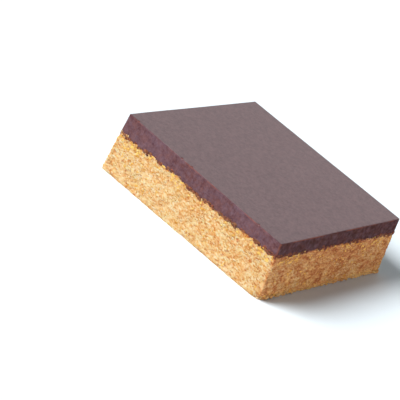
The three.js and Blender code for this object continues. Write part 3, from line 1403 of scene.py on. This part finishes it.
@dataclass(frozen=True)
class BitKind:
    """One kind of bit, and how it is strewn.

    Attributes:
        name: The name of the piece that holds all bits of the kind.
        shape: Their shape.
        place: Where they lie.
        seed: Which of the repeatable random series places them.
        count: How many lie on a square millimetre of side, or on a millimetre of seam or foot.
        length: The shortest and the longest.
        proud: How far the knife left them standing out of the cut, least and most.
        sunk: How far their middles lie behind the cut, as a share of their size, least and most.
        level: How level they lie, from 0 for any way to 1 for flat.
        flat: How high they are, as a share of their model's height.
        tone: Their darkest and palest tone.
        soak: How far chocolate has soaked into them, least and most.
        rise: Where they lie about the seam or above the foot, lowest and highest.
        near_runs: The runs of the near side's seam that hold most of them, from its middle.
        right_runs: The same for the right side.
    """

    name: str
    shape: BitShape
    place: BitPlace
    seed: int
    count: float
    length: tuple[float, float]
    proud: tuple[float, float] = (-0.02, 0.07)
    sunk: tuple[float, float] = (-0.1, 0.7)
    level: float = 0.6
    flat: float = 1.0
    tone: tuple[float, float] = (0.3, 0.8)
    soak: tuple[float, float] = (0.0, 0.0)
    rise: tuple[float, float] = (0.0, 0.0)
    near_runs: tuple[tuple[float, float], ...] = ()
    right_runs: tuple[tuple[float, float], ...] = ()


KINDS = (
    BitKind(
        name="oat_flakes", shape=BitShape.FLAKE, place=BitPlace.FACE, seed=51, count=0.36,
        length=(0.9, 2.0), level=0.75, tone=(0.4, 0.95),
    ),
    BitKind(
        name="nut_chips", shape=BitShape.CHIP, place=BitPlace.FACE, seed=52, count=0.18,
        length=(0.5, 1.2), level=0.2, tone=(0.2, 0.9),
    ),
    BitKind(
        name="round_crumbs", shape=BitShape.GRAIN, place=BitPlace.FACE, seed=53, count=0.8,
        length=(0.35, 0.95), level=0.4, tone=(0.25, 0.8),
    ),
    BitKind(
        name="toasted_specks", shape=BitShape.CHIP, place=BitPlace.FACE, seed=58, count=0.5,
        length=(0.35, 0.85), proud=(-0.02, 0.03), sunk=(-0.1, 0.5), level=0.85, flat=0.55, tone=(-0.6, 0.05),
    ),
    BitKind(
        name="golden_seam_chips", shape=BitShape.CHIP, place=BitPlace.SEAM, seed=54, count=1.5,
        length=(0.6, 1.7), level=0.6, tone=(0.35, 1.0), rise=(-2.8, 0.0),
        near_runs=((-29.0, -21.0), (-9.0, -3.0), (24.0, 29.5)),
        right_runs=((-26.0, -15.0), (3.0, 11.0), (18.0, 27.5)),
    ),
    BitKind(
        name="soaked_crumbs", shape=BitShape.GRAIN, place=BitPlace.SEAM, seed=55, count=3.2,
        length=(0.45, 1.8), proud=(0.03, 0.1), sunk=(-0.2, 0.4), level=0.85, flat=0.6, tone=(0.0, 0.4),
        soak=(0.75, 1.0), rise=(-0.35, 0.6),
        near_runs=((-20.0, -17.5), (-15.0, -13.5), (-4.0, 4.5), (9.0, 15.5), (22.0, 29.8)),
        right_runs=((-27.8, -15.5), (-9.0, -3.0), (6.0, 10.0), (19.0, 27.8)),
    ),
    BitKind(
        name="foot_crumbs", shape=BitShape.GRAIN, place=BitPlace.FOOT, seed=56, count=2.4,
        length=(0.4, 1.3), proud=(0.05, 0.7), sunk=(-0.5, 0.4), level=0.3, tone=(0.5, 1.1), rise=(0.1, 0.8),
    ),
    BitKind(
        name="caught_crumbs", shape=BitShape.GRAIN, place=BitPlace.CAUGHT, seed=57, count=22.0,
        length=(0.45, 1.05), proud=(0.01, 0.08), sunk=(-0.2, 0.3), level=0.5, tone=(0.1, 0.8),
        soak=(-0.6, 0.9), rise=(11.5, 13.0),
    ),
)


@dataclass
class Strewn:
    """The bits of one kind as arrays, one row for each bit, on the upright bar.

    Attributes:
        middle: The bits' middles.
        proud: How far each may stand out of the cut.
        size: How long each is.
        tone: How pale each is.
        soak: How far chocolate has soaked into each.
    """

    middle: Array
    proud: Array
    size: Array
    tone: Array
    soak: Array


@dataclass
class CrumbBits:
    """Oat flakes, nut chips and round crumbs, cut through with the slab and standing a little proud.

    Attributes:
        cut: The knife's cut.
        crumb: The slab that they are pressed into.
        kinds: The kinds of bits.
        face_height: The height of a side that bits are counted for.
        face_margins: How far bits all over the crumb stay above the foot and below the seam.
        end_margin: How far bits stay from a side's ends.
        foot_shares: How many of the foot's bits each side has.
        run_share: How many of the bits that have runs lie in them.
        caught_run: Where the caught bits start and end, from the near side's left end.
        size_bias: How much commoner small bits are than large ones.
        half_height: How high a bit's middle is, as a share of its length.
        turn_series: How far the random series of a kind's turns is from that of its places.
        stretch: How far each bit is squeezed or stretched.
        moist_and_shade_share: How far bits are moistened and painted as in shade, beside the slab.
    """

    cut: BarCut
    crumb: PressedCrumb
    kinds: tuple[BitKind, ...] = KINDS
    face_height: float = 12.8
    face_margins: tuple[float, float] = (0.15, 0.1)
    end_margin: float = 0.2
    foot_shares: dict[Side, float] = field(
        default_factory=lambda: {Side.NEAR: 0.0, Side.RIGHT: 1.0, Side.FAR: 0.45, Side.LEFT: 0.45}
    )
    run_share: float = 0.75
    caught_run: tuple[float, float] = (0.3, 3.0)
    size_bias: float = 1.6
    half_height: float = 0.4
    turn_series: int = 100
    stretch: tuple[float, float] = (0.8, 1.2)
    moist_and_shade_share: float = 0.85

    def build(self) -> list[bpy.types.Object]:
        """Builds one joined piece for each kind of bit.

        Returns:
            The finished pieces.
        """
        oat = CrumbFinish(name="oat flake", grain_share=0.35, pit_share=0.2, bump=0.4, glow=0.2).material()
        nut = CrumbFinish(
            name="nut chip",
            tints=(Tint.NUT_TOASTED, Tint.NUT_GOLDEN, Tint.NUT_PALE),
            moist_and_shade_tints=(Tint.MOIST_NUT_TOASTED, Tint.MOIST_NUT_GOLDEN, Tint.MOIST_NUT_PALE),
            grain_share=0.25,
            pit_share=0.05,
            bump=0.2,
            glow=0.2,
        ).material()
        finishes = {BitShape.FLAKE: oat, BitShape.CHIP: nut, BitShape.GRAIN: oat}
        models = {shape: self._model(shape) for shape in BitShape}
        pieces = []
        for kind in self.kinds:
            piece = self._join(kind, models[kind.shape], self._strew(kind))
            finish_piece(piece, Layer.CRUMB, [finishes[kind.shape]])
            pieces.append(piece)
        for model in models.values():
            bpy.data.objects.remove(model)
        return pieces

    def _model(self, shape: BitShape) -> bpy.types.Object:
        """Models one bit of a shape, a millimetre long.

        Args:
            shape: The shape.

        Returns:
            The bit, which is deleted once all are strewn.
        """
        name, proportions, unevenness = shape.value
        chip_width, grain_width, flake_radius = 0.72 * MM, 0.6 * MM, 0.5 * MM
        chip_bevel, flake_dent, dent_width = 0.14 * MM, 0.09 * MM, 0.02 * MM
        Bench.clear()
        if shape is BitShape.FLAKE:
            bpy.ops.mesh.primitive_uv_sphere_add(
                segments=8, ring_count=5, radius=flake_radius, location=(0, 0, 0)
            )
        else:
            width = chip_width if shape is BitShape.CHIP else grain_width
            bpy.ops.mesh.primitive_cube_add(size=width, location=(0, 0, 0))
        bit = bpy.context.object
        bit.name = name
        Bench.open(bit)
        bpy.ops.mesh.select_all(action="SELECT")
        if shape is BitShape.CHIP:
            bpy.ops.mesh.bevel(offset=chip_bevel, segments=1, affect="EDGES")
        if shape is BitShape.GRAIN:
            bpy.ops.mesh.subdivide(number_cuts=1, smoothness=1.0)
        bpy.ops.mesh.select_all(action="SELECT")
        bpy.ops.transform.resize(value=proportions, center_override=(0, 0, 0))
        if shape is BitShape.FLAKE:
            Bench.pick(bit, Element.VERTS, lambda vertex: abs(vertex.co.y) < dent_width and vertex.co.z > 0)
            bpy.ops.transform.translate(value=(0, 0, -flake_dent))
            bpy.ops.mesh.select_all(action="SELECT")
        bpy.ops.transform.vertex_random(offset=unevenness * MM, uniform=0.0, normal=0.0, seed=3)
        Bench.close()
        return bit

    def _number(self, kind: BitKind, side: Side) -> int:
        """Gives how many bits of a kind lie on a side.

        Args:
            kind: The kind of bit.
            side: Which side.

        Returns:
            The number of bits.
        """
        along = kind.count * self.cut.span(side)
        numbers = {
            BitPlace.FACE: along * self.face_height,
            BitPlace.SEAM: along,
            BitPlace.FOOT: along * self.foot_shares[side],
            BitPlace.CAUGHT: kind.count if side is Side.NEAR else 0,
        }
        return round(numbers[kind.place])

    def _along(self, kind: BitKind, side: Side, number: int, rng: np.random.Generator) -> Array:
        """Gives where the bits of a kind lie along a side, from its middle.

        Args:
            kind: The kind of bit.
            side: Which side.
            number: How many bits there are.
            rng: The random series.

        Returns:
            One place for each bit.
        """
        half = self.cut.span(side) / 2
        along = rng.uniform(-half + self.end_margin, half - self.end_margin, number)
        runs = {Side.NEAR: kind.near_runs, Side.RIGHT: kind.right_runs}.get(side, ())
        if runs:
            lengths = np.array([end - start for start, end in runs])
            chosen = rng.choice(len(runs), number, p=lengths / lengths.sum())
            starts, ends = np.array(runs)[chosen].T
            in_run = starts + (ends - starts) * rng.uniform(0, 1, number)
            along = np.where(rng.uniform(0, 1, number) < self.run_share, in_run, along)
        if kind.place is BitPlace.CAUGHT:
            along = rng.uniform(self.caught_run[0] - half, self.caught_run[1] - half, number)
        return along

    def _strew(self, kind: BitKind) -> Strewn:
        """Places the bits of one kind on the four sides of the upright bar.

        Args:
            kind: The kind of bit.

        Returns:
            The places and the traits of all its bits.
        """
        rng = np.random.default_rng(kind.seed)
        parts = []
        for side in Side:
            number = self._number(kind, side)
            along = self._along(kind, side, number, rng)
            none = np.zeros(number)
            seam = self.cut.seam_at_cut(self.cut.on_side(side, along, none, none))
            share = rng.uniform(0, 1, number)
            z = kind.rise[0] + share * (kind.rise[1] - kind.rise[0])
            if kind.place is BitPlace.SEAM:
                z += seam
            if kind.place is BitPlace.FACE:
                z = self.face_margins[0] + share * (seam - sum(self.face_margins))
            bias = rng.uniform(0, 1, number) ** self.size_bias
            size = kind.length[0] + bias * (kind.length[1] - kind.length[0])
            on_cut = self.cut.on_side(side, along, z, none)
            lost = self.crumb.lost_corner(on_cut)
            worn = self.crumb.worn_away(on_cut)
            sunk = rng.uniform(*kind.sunk, number) * size * self.half_height
            parts.append(
                Strewn(
                    middle=self.cut.on_side(side, along, z, -worn - sunk) + lost,
                    proud=rng.uniform(*kind.proud, number) - (worn - lost @ self.cut.way_out(side)),
                    size=size,
                    tone=rng.uniform(*kind.tone, number),
                    soak=np.clip(rng.uniform(*kind.soak, number), 0, 1),
                )
            )
        names = ("middle", "proud", "size", "tone", "soak")
        return Strewn(*(np.concatenate([getattr(part, name) for part in parts]) for name in names))

    @staticmethod
    def _turns(rng: np.random.Generator, number: int, level: float) -> Array:
        """Gives one random turn for each bit.

        Args:
            rng: The random series.
            number: How many bits there are.
            level: How level they lie, from 0 for any way to 1 for flat.

        Returns:
            A 3 by 3 turn for each bit.
        """
        up = rng.normal(0, 1, (number, 3))
        up /= np.linalg.norm(up, axis=1)[:, None]
        up = up * (1 - level) + np.array([0, 0, 1.0]) * level * np.where(up[:, 2] < 0, -1, 1)[:, None]
        up /= np.linalg.norm(up, axis=1)[:, None]
        first = np.cross(up, rng.normal(0, 1, (number, 3)))
        first /= np.linalg.norm(first, axis=1)[:, None]
        return np.stack([first, np.cross(up, first), up], axis=2)

    def _join(self, kind: BitKind, model: bpy.types.Object, strewn: Strewn) -> bpy.types.Object:
        """Copies a bit to all its places in one mesh, cuts the copies flush and leans them with the bar.

        Args:
            kind: The kind of bit.
            model: The bit to copy.
            strewn: The places.

        Returns:
            The joined piece.
        """
        shape = Bench.points(model)
        number = len(strewn.size)
        rng = np.random.default_rng(kind.seed + self.turn_series)
        turns = self._turns(rng, number, kind.level)
        stretch = rng.uniform(*self.stretch, (number, 1, 3)) * np.array([1, 1, kind.flat])
        copies = (shape[None] * stretch) @ turns.transpose(0, 2, 1) * strewn.size[:, None, None]
        copies += strewn.middle[:, None, :]
        none = np.zeros(1)
        for side in Side:
            way = self.cut.way_out(side)
            out = (copies - self.cut.on_side(side, none, none, none)) @ way
            over = np.clip(out - strewn.proud[:, None], 0, None)
            copies -= over[:, :, None] * way
        copies[:, :, 2] = np.clip(copies[:, :, 2], 0.0, None)
        corners = [list(face.vertices) for face in model.data.polygons]
        faces = [[index + step * len(shape) for index in face] for step in range(number) for face in corners]
        mesh = bpy.data.meshes.new(kind.name)
        mesh.from_pydata((copies.reshape(-1, 3) * MM).tolist(), [], faces)
        mesh.polygons.foreach_set("use_smooth", [kind.shape is not BitShape.CHIP] * len(faces))
        piece = bpy.data.objects.new(kind.name, mesh)
        bpy.context.scene.collection.objects.link(piece)
        shade = self.crumb.shade
        middles = np.repeat(strewn.middle, len(shape), axis=0)
        # The bits take the same painted light at the right side's foot.
        Bench.mark(piece, "tone", np.repeat(strewn.tone, len(shape)) + shade.painted_foot_light(middles))
        Bench.mark(piece, "soak", np.repeat(strewn.soak, len(shape)))
        # The bits take the slab's moistness and its painted shade.
        Bench.mark(piece, "moist", self.moist_and_shade_share * shade.moist(middles))
        # Painted shade where the bits face down.
        Bench.mark(piece, "pit", shade.painted_underside_shade(Bench.outwards(piece)))
        self.cut.lean_over(piece)
        return piece


# --------------------------------------------------------------------------------------------------
# The chocolate
# --------------------------------------------------------------------------------------------------


@dataclass
class ChocolateLayer:
    """The layer of dark chocolate: a level top with crisp edges, and straight cut sides.

    Attributes:
        cut: The knife's cut.
        skirt: How far below the seam its sides reach, behind the crumbs.
        skirt_start: How far above the seam its sides start to turn in.
        skirt_slope: How far they turn in for each millimetre down.
        end_rim: How wide the hidden underside is inside its rim, as a share.
        edge_round: The rounding of its top edges and upright corners.
        rounds: How its faces are divided along X, Y and Z, each in rounds.
        side_slopes: How far up the surface faces where the cut sides end and the top starts.
        top_slope: How far up a face has to face to get the top's finish.
        streaks: The knife's upright streaks.
        streak_stretch: How much slower they change upwards than along.
        streak_depth: How deep they are.
        drags: Where the knife dragged the cut sides.
        drag_depth: How uneven that leaves them.
        swells: The broad and the small swells of the top, as the waves and the height of each.
        swell: How far the broad ones rise and fall.
        nicks: Small chips out of the near top edge, as places along it from its middle.
        nick_reach: How wide they are from their middles.
        nick_flatness: How much wider than high they are.
        nick_depth: How deep they are.
        nick_pale: How much of the rim's tint they show.
        hazes: Paler patches of the near side, as the middle and the half width of each along it.
        haze_strength: How pale they are.
        haze_edges: The waves of their edges.
        haze_unevenness: How uneven the edges are.
        haze_fade: Where a patch starts to fade and where it ends, as shares of its half width.
        haze_clouds: The clouds within them.
        haze_cloudiness: How pale they are in the main, and how much the clouds change that.
        haze_turn: How far to the near side a face looks where the haze starts and is full.
        rim_highlight_heights: Between which heights, down from the top, the painted highlight along the rim
            fades.
        rim_highlight_waves: Where the painted highlight is missing.
        rim_highlight_from: The height of those waves where it starts to show, and where it is full.
        rim_highlight_strength: How strong the painted highlight is at the left end, and how much more at the
            right.
        corner_highlight: How strong the painted highlight down the near right corner is.
        corner_highlight_reach: Between which distances from the corner it fades.
        end_shade_broad: The broad waves of the painted shade that greys and darkens the right side.
        end_shade_fine: The fine ones.
        end_shade_weights: How strong the painted shade is in the main, and how much each kind of waves
            changes that.
        end_shade_most: How strong that may get, which then counts as 1.
        end_shade_turn: Where, measured out of the right side, the painted shade starts and is full.
    """

    cut: BarCut
    skirt: float = 0.9
    skirt_start: float = 0.12
    skirt_slope: float = 1.2
    end_rim: float = 0.95
    edge_round: float = 0.22
    rounds: tuple[tuple[int, ...], ...] = ((11, 20), (11, 19), (24,))
    side_slopes: tuple[float, float] = (0.0, 0.5)
    top_slope: float = 0.8
    streaks: SoftNoise = SoftNoise(size=0.4, seed=61)
    streak_stretch: float = 0.12
    streak_depth: float = 0.008
    drags: SoftNoise = SoftNoise(size=3.5, seed=62)
    drag_depth: float = 0.03
    swells: tuple[tuple[SoftNoise, float], ...] = (
        (SoftNoise(size=16.0, seed=63), 0.05),
        (SoftNoise(size=5.0, seed=64), 0.015),
    )
    swell: float = 0.05
    nicks: tuple[float, ...] = (-26.4, -8.6, -4.6, 21.5)
    nick_reach: float = 0.55
    nick_flatness: float = 1.4
    nick_depth: float = 0.3
    nick_pale: float = 0.4
    hazes: tuple[tuple[float, float], ...] = ((-17.0, 7.0), (19.5, 8.5))
    haze_strength: float = 0.12
    haze_edges: SoftNoise = SoftNoise(size=2.2, seed=68)
    haze_unevenness: float = 0.35
    haze_fade: tuple[float, float] = (0.4, 1.1)
    haze_clouds: SoftNoise = SoftNoise(size=1.3, seed=69)
    haze_cloudiness: tuple[float, float] = (0.6, 0.5)
    haze_turn: tuple[float, float] = (0.6, 0.9)
    rim_highlight_heights: tuple[float, float] = (-0.5, -0.1)
    rim_highlight_waves: SoftNoise = SoftNoise(size=3.0, seed=65)
    rim_highlight_from: tuple[float, float] = (-0.4, 0.5)
    rim_highlight_strength: tuple[float, float] = (0.15, 0.75)
    corner_highlight: float = 0.35
    corner_highlight_reach: tuple[float, float] = (0.1, 0.45)
    end_shade_broad: SoftNoise = SoftNoise(size=1.1, seed=66)
    end_shade_fine: SoftNoise = SoftNoise(size=0.5, seed=67)
    end_shade_weights: tuple[float, float, float] = (0.8, 0.5, 0.6)
    end_shade_most: float = 1.6
    end_shade_turn: tuple[float, float] = (-0.6, -0.1)

    def build(self) -> bpy.types.Object:
        """Builds and dresses the layer.

        Returns:
            The finished layer.
        """
        low = self.cut.height / 2
        piece = self.cut.block("chocolate", low=low, high=self.cut.height)
        Bench.open(piece)
        Bench.pick(piece, Element.FACES, lambda face: face.normal.z < -UPRIGHT_ENOUGH)
        Bench.round_and_divide(piece, rounding=self.edge_round, rounds=self.rounds, longer_than=1.0)
        self._shape(piece, low)
        top = ChocolateFinish(
            name="chocolate top",
            dark=Tint.CHOCOLATE_TOP,
            pale=Tint.CHOCOLATE_TOP_PALE,
            brown=Tint.CHOCOLATE_TOP_PALE,
            roughness=0.42,
            gloss=0.5,
            mottling=3.4,
            grain=950.0,
            streaks=0.0,
            bump=0.25,
        )
        side = ChocolateFinish(
            name="cut chocolate",
            dark=Tint.CHOCOLATE_CUT_DARK,
            pale=Tint.CHOCOLATE_CUT,
            brown=Tint.CHOCOLATE_CUT_BROWN,
            roughness=0.7,
            gloss=0.0,
            mottling=2.2,
            grain=800.0,
            streaks=0.35,
            bump=0.8,
        )
        finish_piece(piece, Layer.CHOCOLATE, [top.material(), side.material()])
        for face in piece.data.polygons:
            face.material_index = 0 if face.normal.z > self.top_slope else 1
        self.cut.lean_over(piece)
        Bench.open(piece)
        Bench.cap(piece, lambda edge: edge.is_boundary, self.end_rim)
        Bench.face_outwards(piece)
        Bench.clear()
        piece.select_set(True)
        bpy.context.view_layer.objects.active = piece
        bpy.ops.object.shade_smooth_by_angle(angle=math.radians(60))
        return piece

    def _shape(self, piece: bpy.types.Object, low: float) -> None:
        """Brings the sides down to the seam and tucks them in, adds streaks and swells, and marks the finish.

        Args:
            piece: The upright block, divided.
            low: The height of its open underside.
        """
        points, way_out = Bench.points(piece), Bench.outwards(piece)
        height = self.cut.height
        seam = self.cut.seam_at_cut(points)
        share = (points[:, 2] - low) / (height - low)
        points[:, 2] = (seam - self.skirt) * (1 - share) + height * share
        side = 1 - ramp(way_out[:, 2], *self.side_slopes)
        drawn = points * np.array([1, 1, self.streak_stretch])
        out = self.streak_depth * self.streaks.at(drawn) + self.drag_depth * self.drags.at(points)
        out -= self.skirt_slope * np.clip(seam + self.skirt_start - points[:, 2], 0, None)
        rise = sum(waves.at(points) * most for waves, most in self.swells)
        points[:, 2] += np.minimum(rise - self.swell, 0) * (1 - side)
        # Painted highlight: a reddish line along the top edge of the cut sides.
        rim_highlight = ramp(points[:, 2] - height, *self.rim_highlight_heights) * side
        rim_highlight *= ramp(self.rim_highlight_waves.at(points), *self.rim_highlight_from)
        points += way_out * np.array([1, 1, 0]) * (out * side)[:, None]
        nicked = self._nicked(points)
        points[:, 2] -= self.nick_depth * nicked
        points[:, 1] += self.nick_depth * nicked
        Bench.set_points(piece, points)
        # The rim mark: the painted highlight along the top edge and down the near right corner, and the pale
        # nicks.
        rim = np.maximum(self._rim_highlight_share(points) * rim_highlight, self._corner_highlight_share(points) * side)
        Bench.mark(piece, "rim", np.clip(rim + self.nick_pale * nicked, 0, 1))
        Bench.mark(piece, "haze", self._haze(points) * ramp(-way_out[:, 1], *self.haze_turn))
        # Painted shade: the right side's chocolate is painted greyer and darker.
        Bench.mark(piece, "smear", self._smear(points) * side)

    def _nicked(self, points: Array) -> Array:
        """Gives how deep in a nick of the near top edge each point lies.

        Args:
            points: Places in millimetres, one row each.

        Returns:
            A number from 0 to 1 for each row.
        """
        number = len(self.nicks)
        heights, none = np.full(number, self.cut.height), np.zeros(number)
        nicked = np.zeros(len(points))
        for place in self.cut.on_side(Side.NEAR, np.array(self.nicks), heights, none):
            away = np.linalg.norm((points - place) * np.array([1, 1, self.nick_flatness]), axis=1)
            nicked = np.maximum(nicked, ramp(-away, -self.nick_reach, 0))
        return nicked

    def _rim_highlight_share(self, points: Array) -> Array:
        """Gives how strong the painted highlight along the rim is, which grows from left to right."""
        along = (points[:, 0] - self.cut.middle[0]) / self.cut.length + 0.5
        return self.rim_highlight_strength[0] + self.rim_highlight_strength[1] * along

    def _corner_highlight_share(self, points: Array) -> Array:
        """Gives how strong the painted highlight down the near right corner is."""
        from_corner = np.linalg.norm((points - self.cut.near_right_corner())[:, :2], axis=1)
        return self.corner_highlight * (1 - ramp(from_corner, *self.corner_highlight_reach))

    def _haze(self, points: Array) -> Array:
        """Gives how hazy the near side is in its paler patches.

        Args:
            points: Places in millimetres, one row each.

        Returns:
            A number from 0 to 1 for each row.
        """
        haze = np.zeros(len(points))
        for middle, half in self.hazes:
            far = np.abs(points[:, 0] - self.cut.middle[0] - middle) / half
            edge = self.haze_unevenness * self.haze_edges.at(points)
            haze = np.maximum(haze, 1 - ramp(far + edge, *self.haze_fade))
        cloudy = self.haze_cloudiness[0] + self.haze_cloudiness[1] * self.haze_clouds.at(points)
        return np.clip(self.haze_strength * haze * cloudy, 0, 1)

    def _smear(self, points: Array) -> Array:
        """Gives how strongly the right side is painted grey and dark, as painted shade.

        Args:
            points: Places in millimetres, one row each.

        Returns:
            A number from 0 to 1 for each row.
        """
        main, broad, fine = self.end_shade_weights
        uneven = main + broad * self.end_shade_broad.at(points) + fine * self.end_shade_fine.at(points)
        on_right = ramp(self.cut.past_right(points), *self.end_shade_turn)
        return on_right * np.clip(uneven, 0, self.end_shade_most) / self.end_shade_most


# --------------------------------------------------------------------------------------------------
# The studio
# --------------------------------------------------------------------------------------------------


@dataclass(frozen=True)
class Softbox:
    """A square soft light that faces the bar.

    Attributes:
        name: The light's name.
        place: Where it hangs, in metres.
        size: Its side, in metres.
        power: Its power in watts.
        tint: Its colour.
    """

    name: str
    place: tuple[float, float, float]
    size: float
    power: float
    tint: tuple[float, float, float] = (1.0, 1.0, 1.0)


@dataclass
class Studio:
    """A white table under soft light, seen through a long lens.

    Attributes:
        aim: The point that the camera looks at, in millimetres.
        distance: How far the camera is from it.
        azimuth: How far round from -Y towards +X the camera stands, in degrees.
        elevation: How high it looks down from, in degrees.
        roll: How far the picture is turned, so that the bar's right end hangs low, in degrees.
        lens: The focal length on a 36 mm sensor.
        room: How bright the white room is.
        room_tint: The colour of its light, which is a little blue, like shade by day.
        window_power: How strong the light through the wide window is.
        window_width: How wide the window looks from the bar, in degrees.
        window_azimuth: How far round from -Y towards +X the window is, in degrees.
        window_elevation: How high the window is, in degrees.
        softboxes: The smaller lights, for the sheen of the top and for the shaded side.
    """

    aim: tuple[float, float, float] = (-1.5, -22.45, 9.15)
    distance: float = 431.2
    azimuth: float = 31.63
    elevation: float = 26.17
    roll: float = 25.98
    lens: float = 144.0
    room: float = 0.148
    room_tint: tuple[float, float, float, float] = (0.90, 0.96, 1.0, 1.0)
    window_power: float = 5.15
    window_width: float = 31.0
    window_azimuth: float = -34.0
    window_elevation: float = 40.0
    softboxes: tuple[Softbox, ...] = (
        Softbox(name="far softbox", place=(-0.50, 0.80, 0.50), size=0.9, power=2.3),
        Softbox(name="right card", place=(0.60, -0.05, 0.055), size=0.1, power=1.28, tint=(1.0, 0.97, 0.94)),
    )

    def build(self) -> None:
        """Sets up the table, the lights and the camera."""
        self._table()
        self._lights()
        self._camera()
        bpy.context.scene.view_settings.view_transform = "Standard"

    def _table(self) -> None:
        """Lays a wide white table under the bar."""
        Bench.clear()
        bpy.ops.mesh.primitive_plane_add(size=6.0, location=(0, 0, 0))
        table = bpy.context.object
        table.name = "white_table"
        material, sheet = new_material("white table")
        mottle = sheet.add("Group", {"node_tree": Effects.mottle()}, Scale=8.0, Detail=3.0, Contrast=0.3)
        rough = sheet.spread(mottle.outputs["Shade"], 0.0, 1.0, 0.85, 0.95)
        shader = sheet.add("BsdfPrincipled", Base_Color=Tint.WHITE_TABLE.linear(), Roughness=rough)
        shader.inputs["Specular IOR Level"].default_value = 0.1
        sheet.feed(sheet.add("OutputMaterial").inputs["Surface"], shader.outputs[0])
        table.data.materials.append(material)

    def _lights(self) -> None:
        """Hangs a wide window of light at the near left and lets the white room fill the shade."""
        world = bpy.data.worlds.new("white room")
        bpy.context.scene.world = world
        world.use_nodes = True
        background = world.node_tree.nodes["Background"]
        background.inputs["Color"].default_value = self.room_tint
        background.inputs["Strength"].default_value = self.room
        window = bpy.data.lights.new("window", "SUN")
        window.energy = self.window_power
        window.angle = math.radians(self.window_width)
        self._hang(window, self._towards(self.window_azimuth, self.window_elevation))
        for box in self.softboxes:
            light = bpy.data.lights.new(box.name, "AREA")
            light.size = box.size
            light.energy = box.power
            light.color = box.tint
            self._hang(light, Vector(box.place))

    @staticmethod
    def _towards(azimuth: float, elevation: float) -> Vector:
        """Gives the way from the bar to something seen round from -Y towards +X and above, in degrees."""
        around, up = math.radians(azimuth), math.radians(elevation)
        return Vector((math.sin(around) * math.cos(up), -math.cos(around) * math.cos(up), math.sin(up)))

    @staticmethod
    def _hang(light: bpy.types.Light, place: Vector) -> None:
        """Hangs a light at a place, facing the bar.

        Args:
            light: The light.
            place: Where it hangs, in metres.
        """
        lamp = bpy.data.objects.new(light.name, light)
        lamp.location = place
        lamp.rotation_euler = (-place).to_track_quat("-Z", "Y").to_euler()
        bpy.context.scene.collection.objects.link(lamp)

    def _camera(self) -> None:
        """Stands the camera where the photograph was taken from."""
        back = self._towards(self.azimuth, self.elevation)
        camera = bpy.data.cameras.new("camera")
        camera.lens = self.lens
        camera.sensor_width = 36.0
        camera.clip_start = 0.01
        eye = bpy.data.objects.new("camera", camera)
        turn = back.to_track_quat("Z", "Y").to_matrix() @ Matrix.Rotation(math.radians(self.roll), 3, "Z")
        eye.matrix_world = Matrix.Translation((Vector(self.aim) + back * self.distance) * MM) @ turn.to_4x4()
        bpy.context.scene.collection.objects.link(eye)
        bpy.context.scene.camera = eye


def main() -> None:
    """Builds the bar in its frame, reports each piece, and builds its studio."""
    logging.basicConfig(level=logging.INFO, format="%(name)s: %(message)s")
    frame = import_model()
    cut = BarCut.from_frame(frame["nodes"]["chocolate_layer"])
    LOG.info("the top's middle is at %.3f, %.3f mm", *cut.middle)
    crumb = PressedCrumb(cut, CrumbShade(cut))
    pieces = [crumb.build(), *CrumbBits(cut, crumb).build(), ChocolateLayer(cut).build()]
    for piece in pieces:
        LOG.info("%s: %d vertices, %d faces", piece.name, len(piece.data.vertices), len(piece.data.polygons))
    Studio().build()
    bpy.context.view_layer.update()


if __name__ == "__main__":
    main()
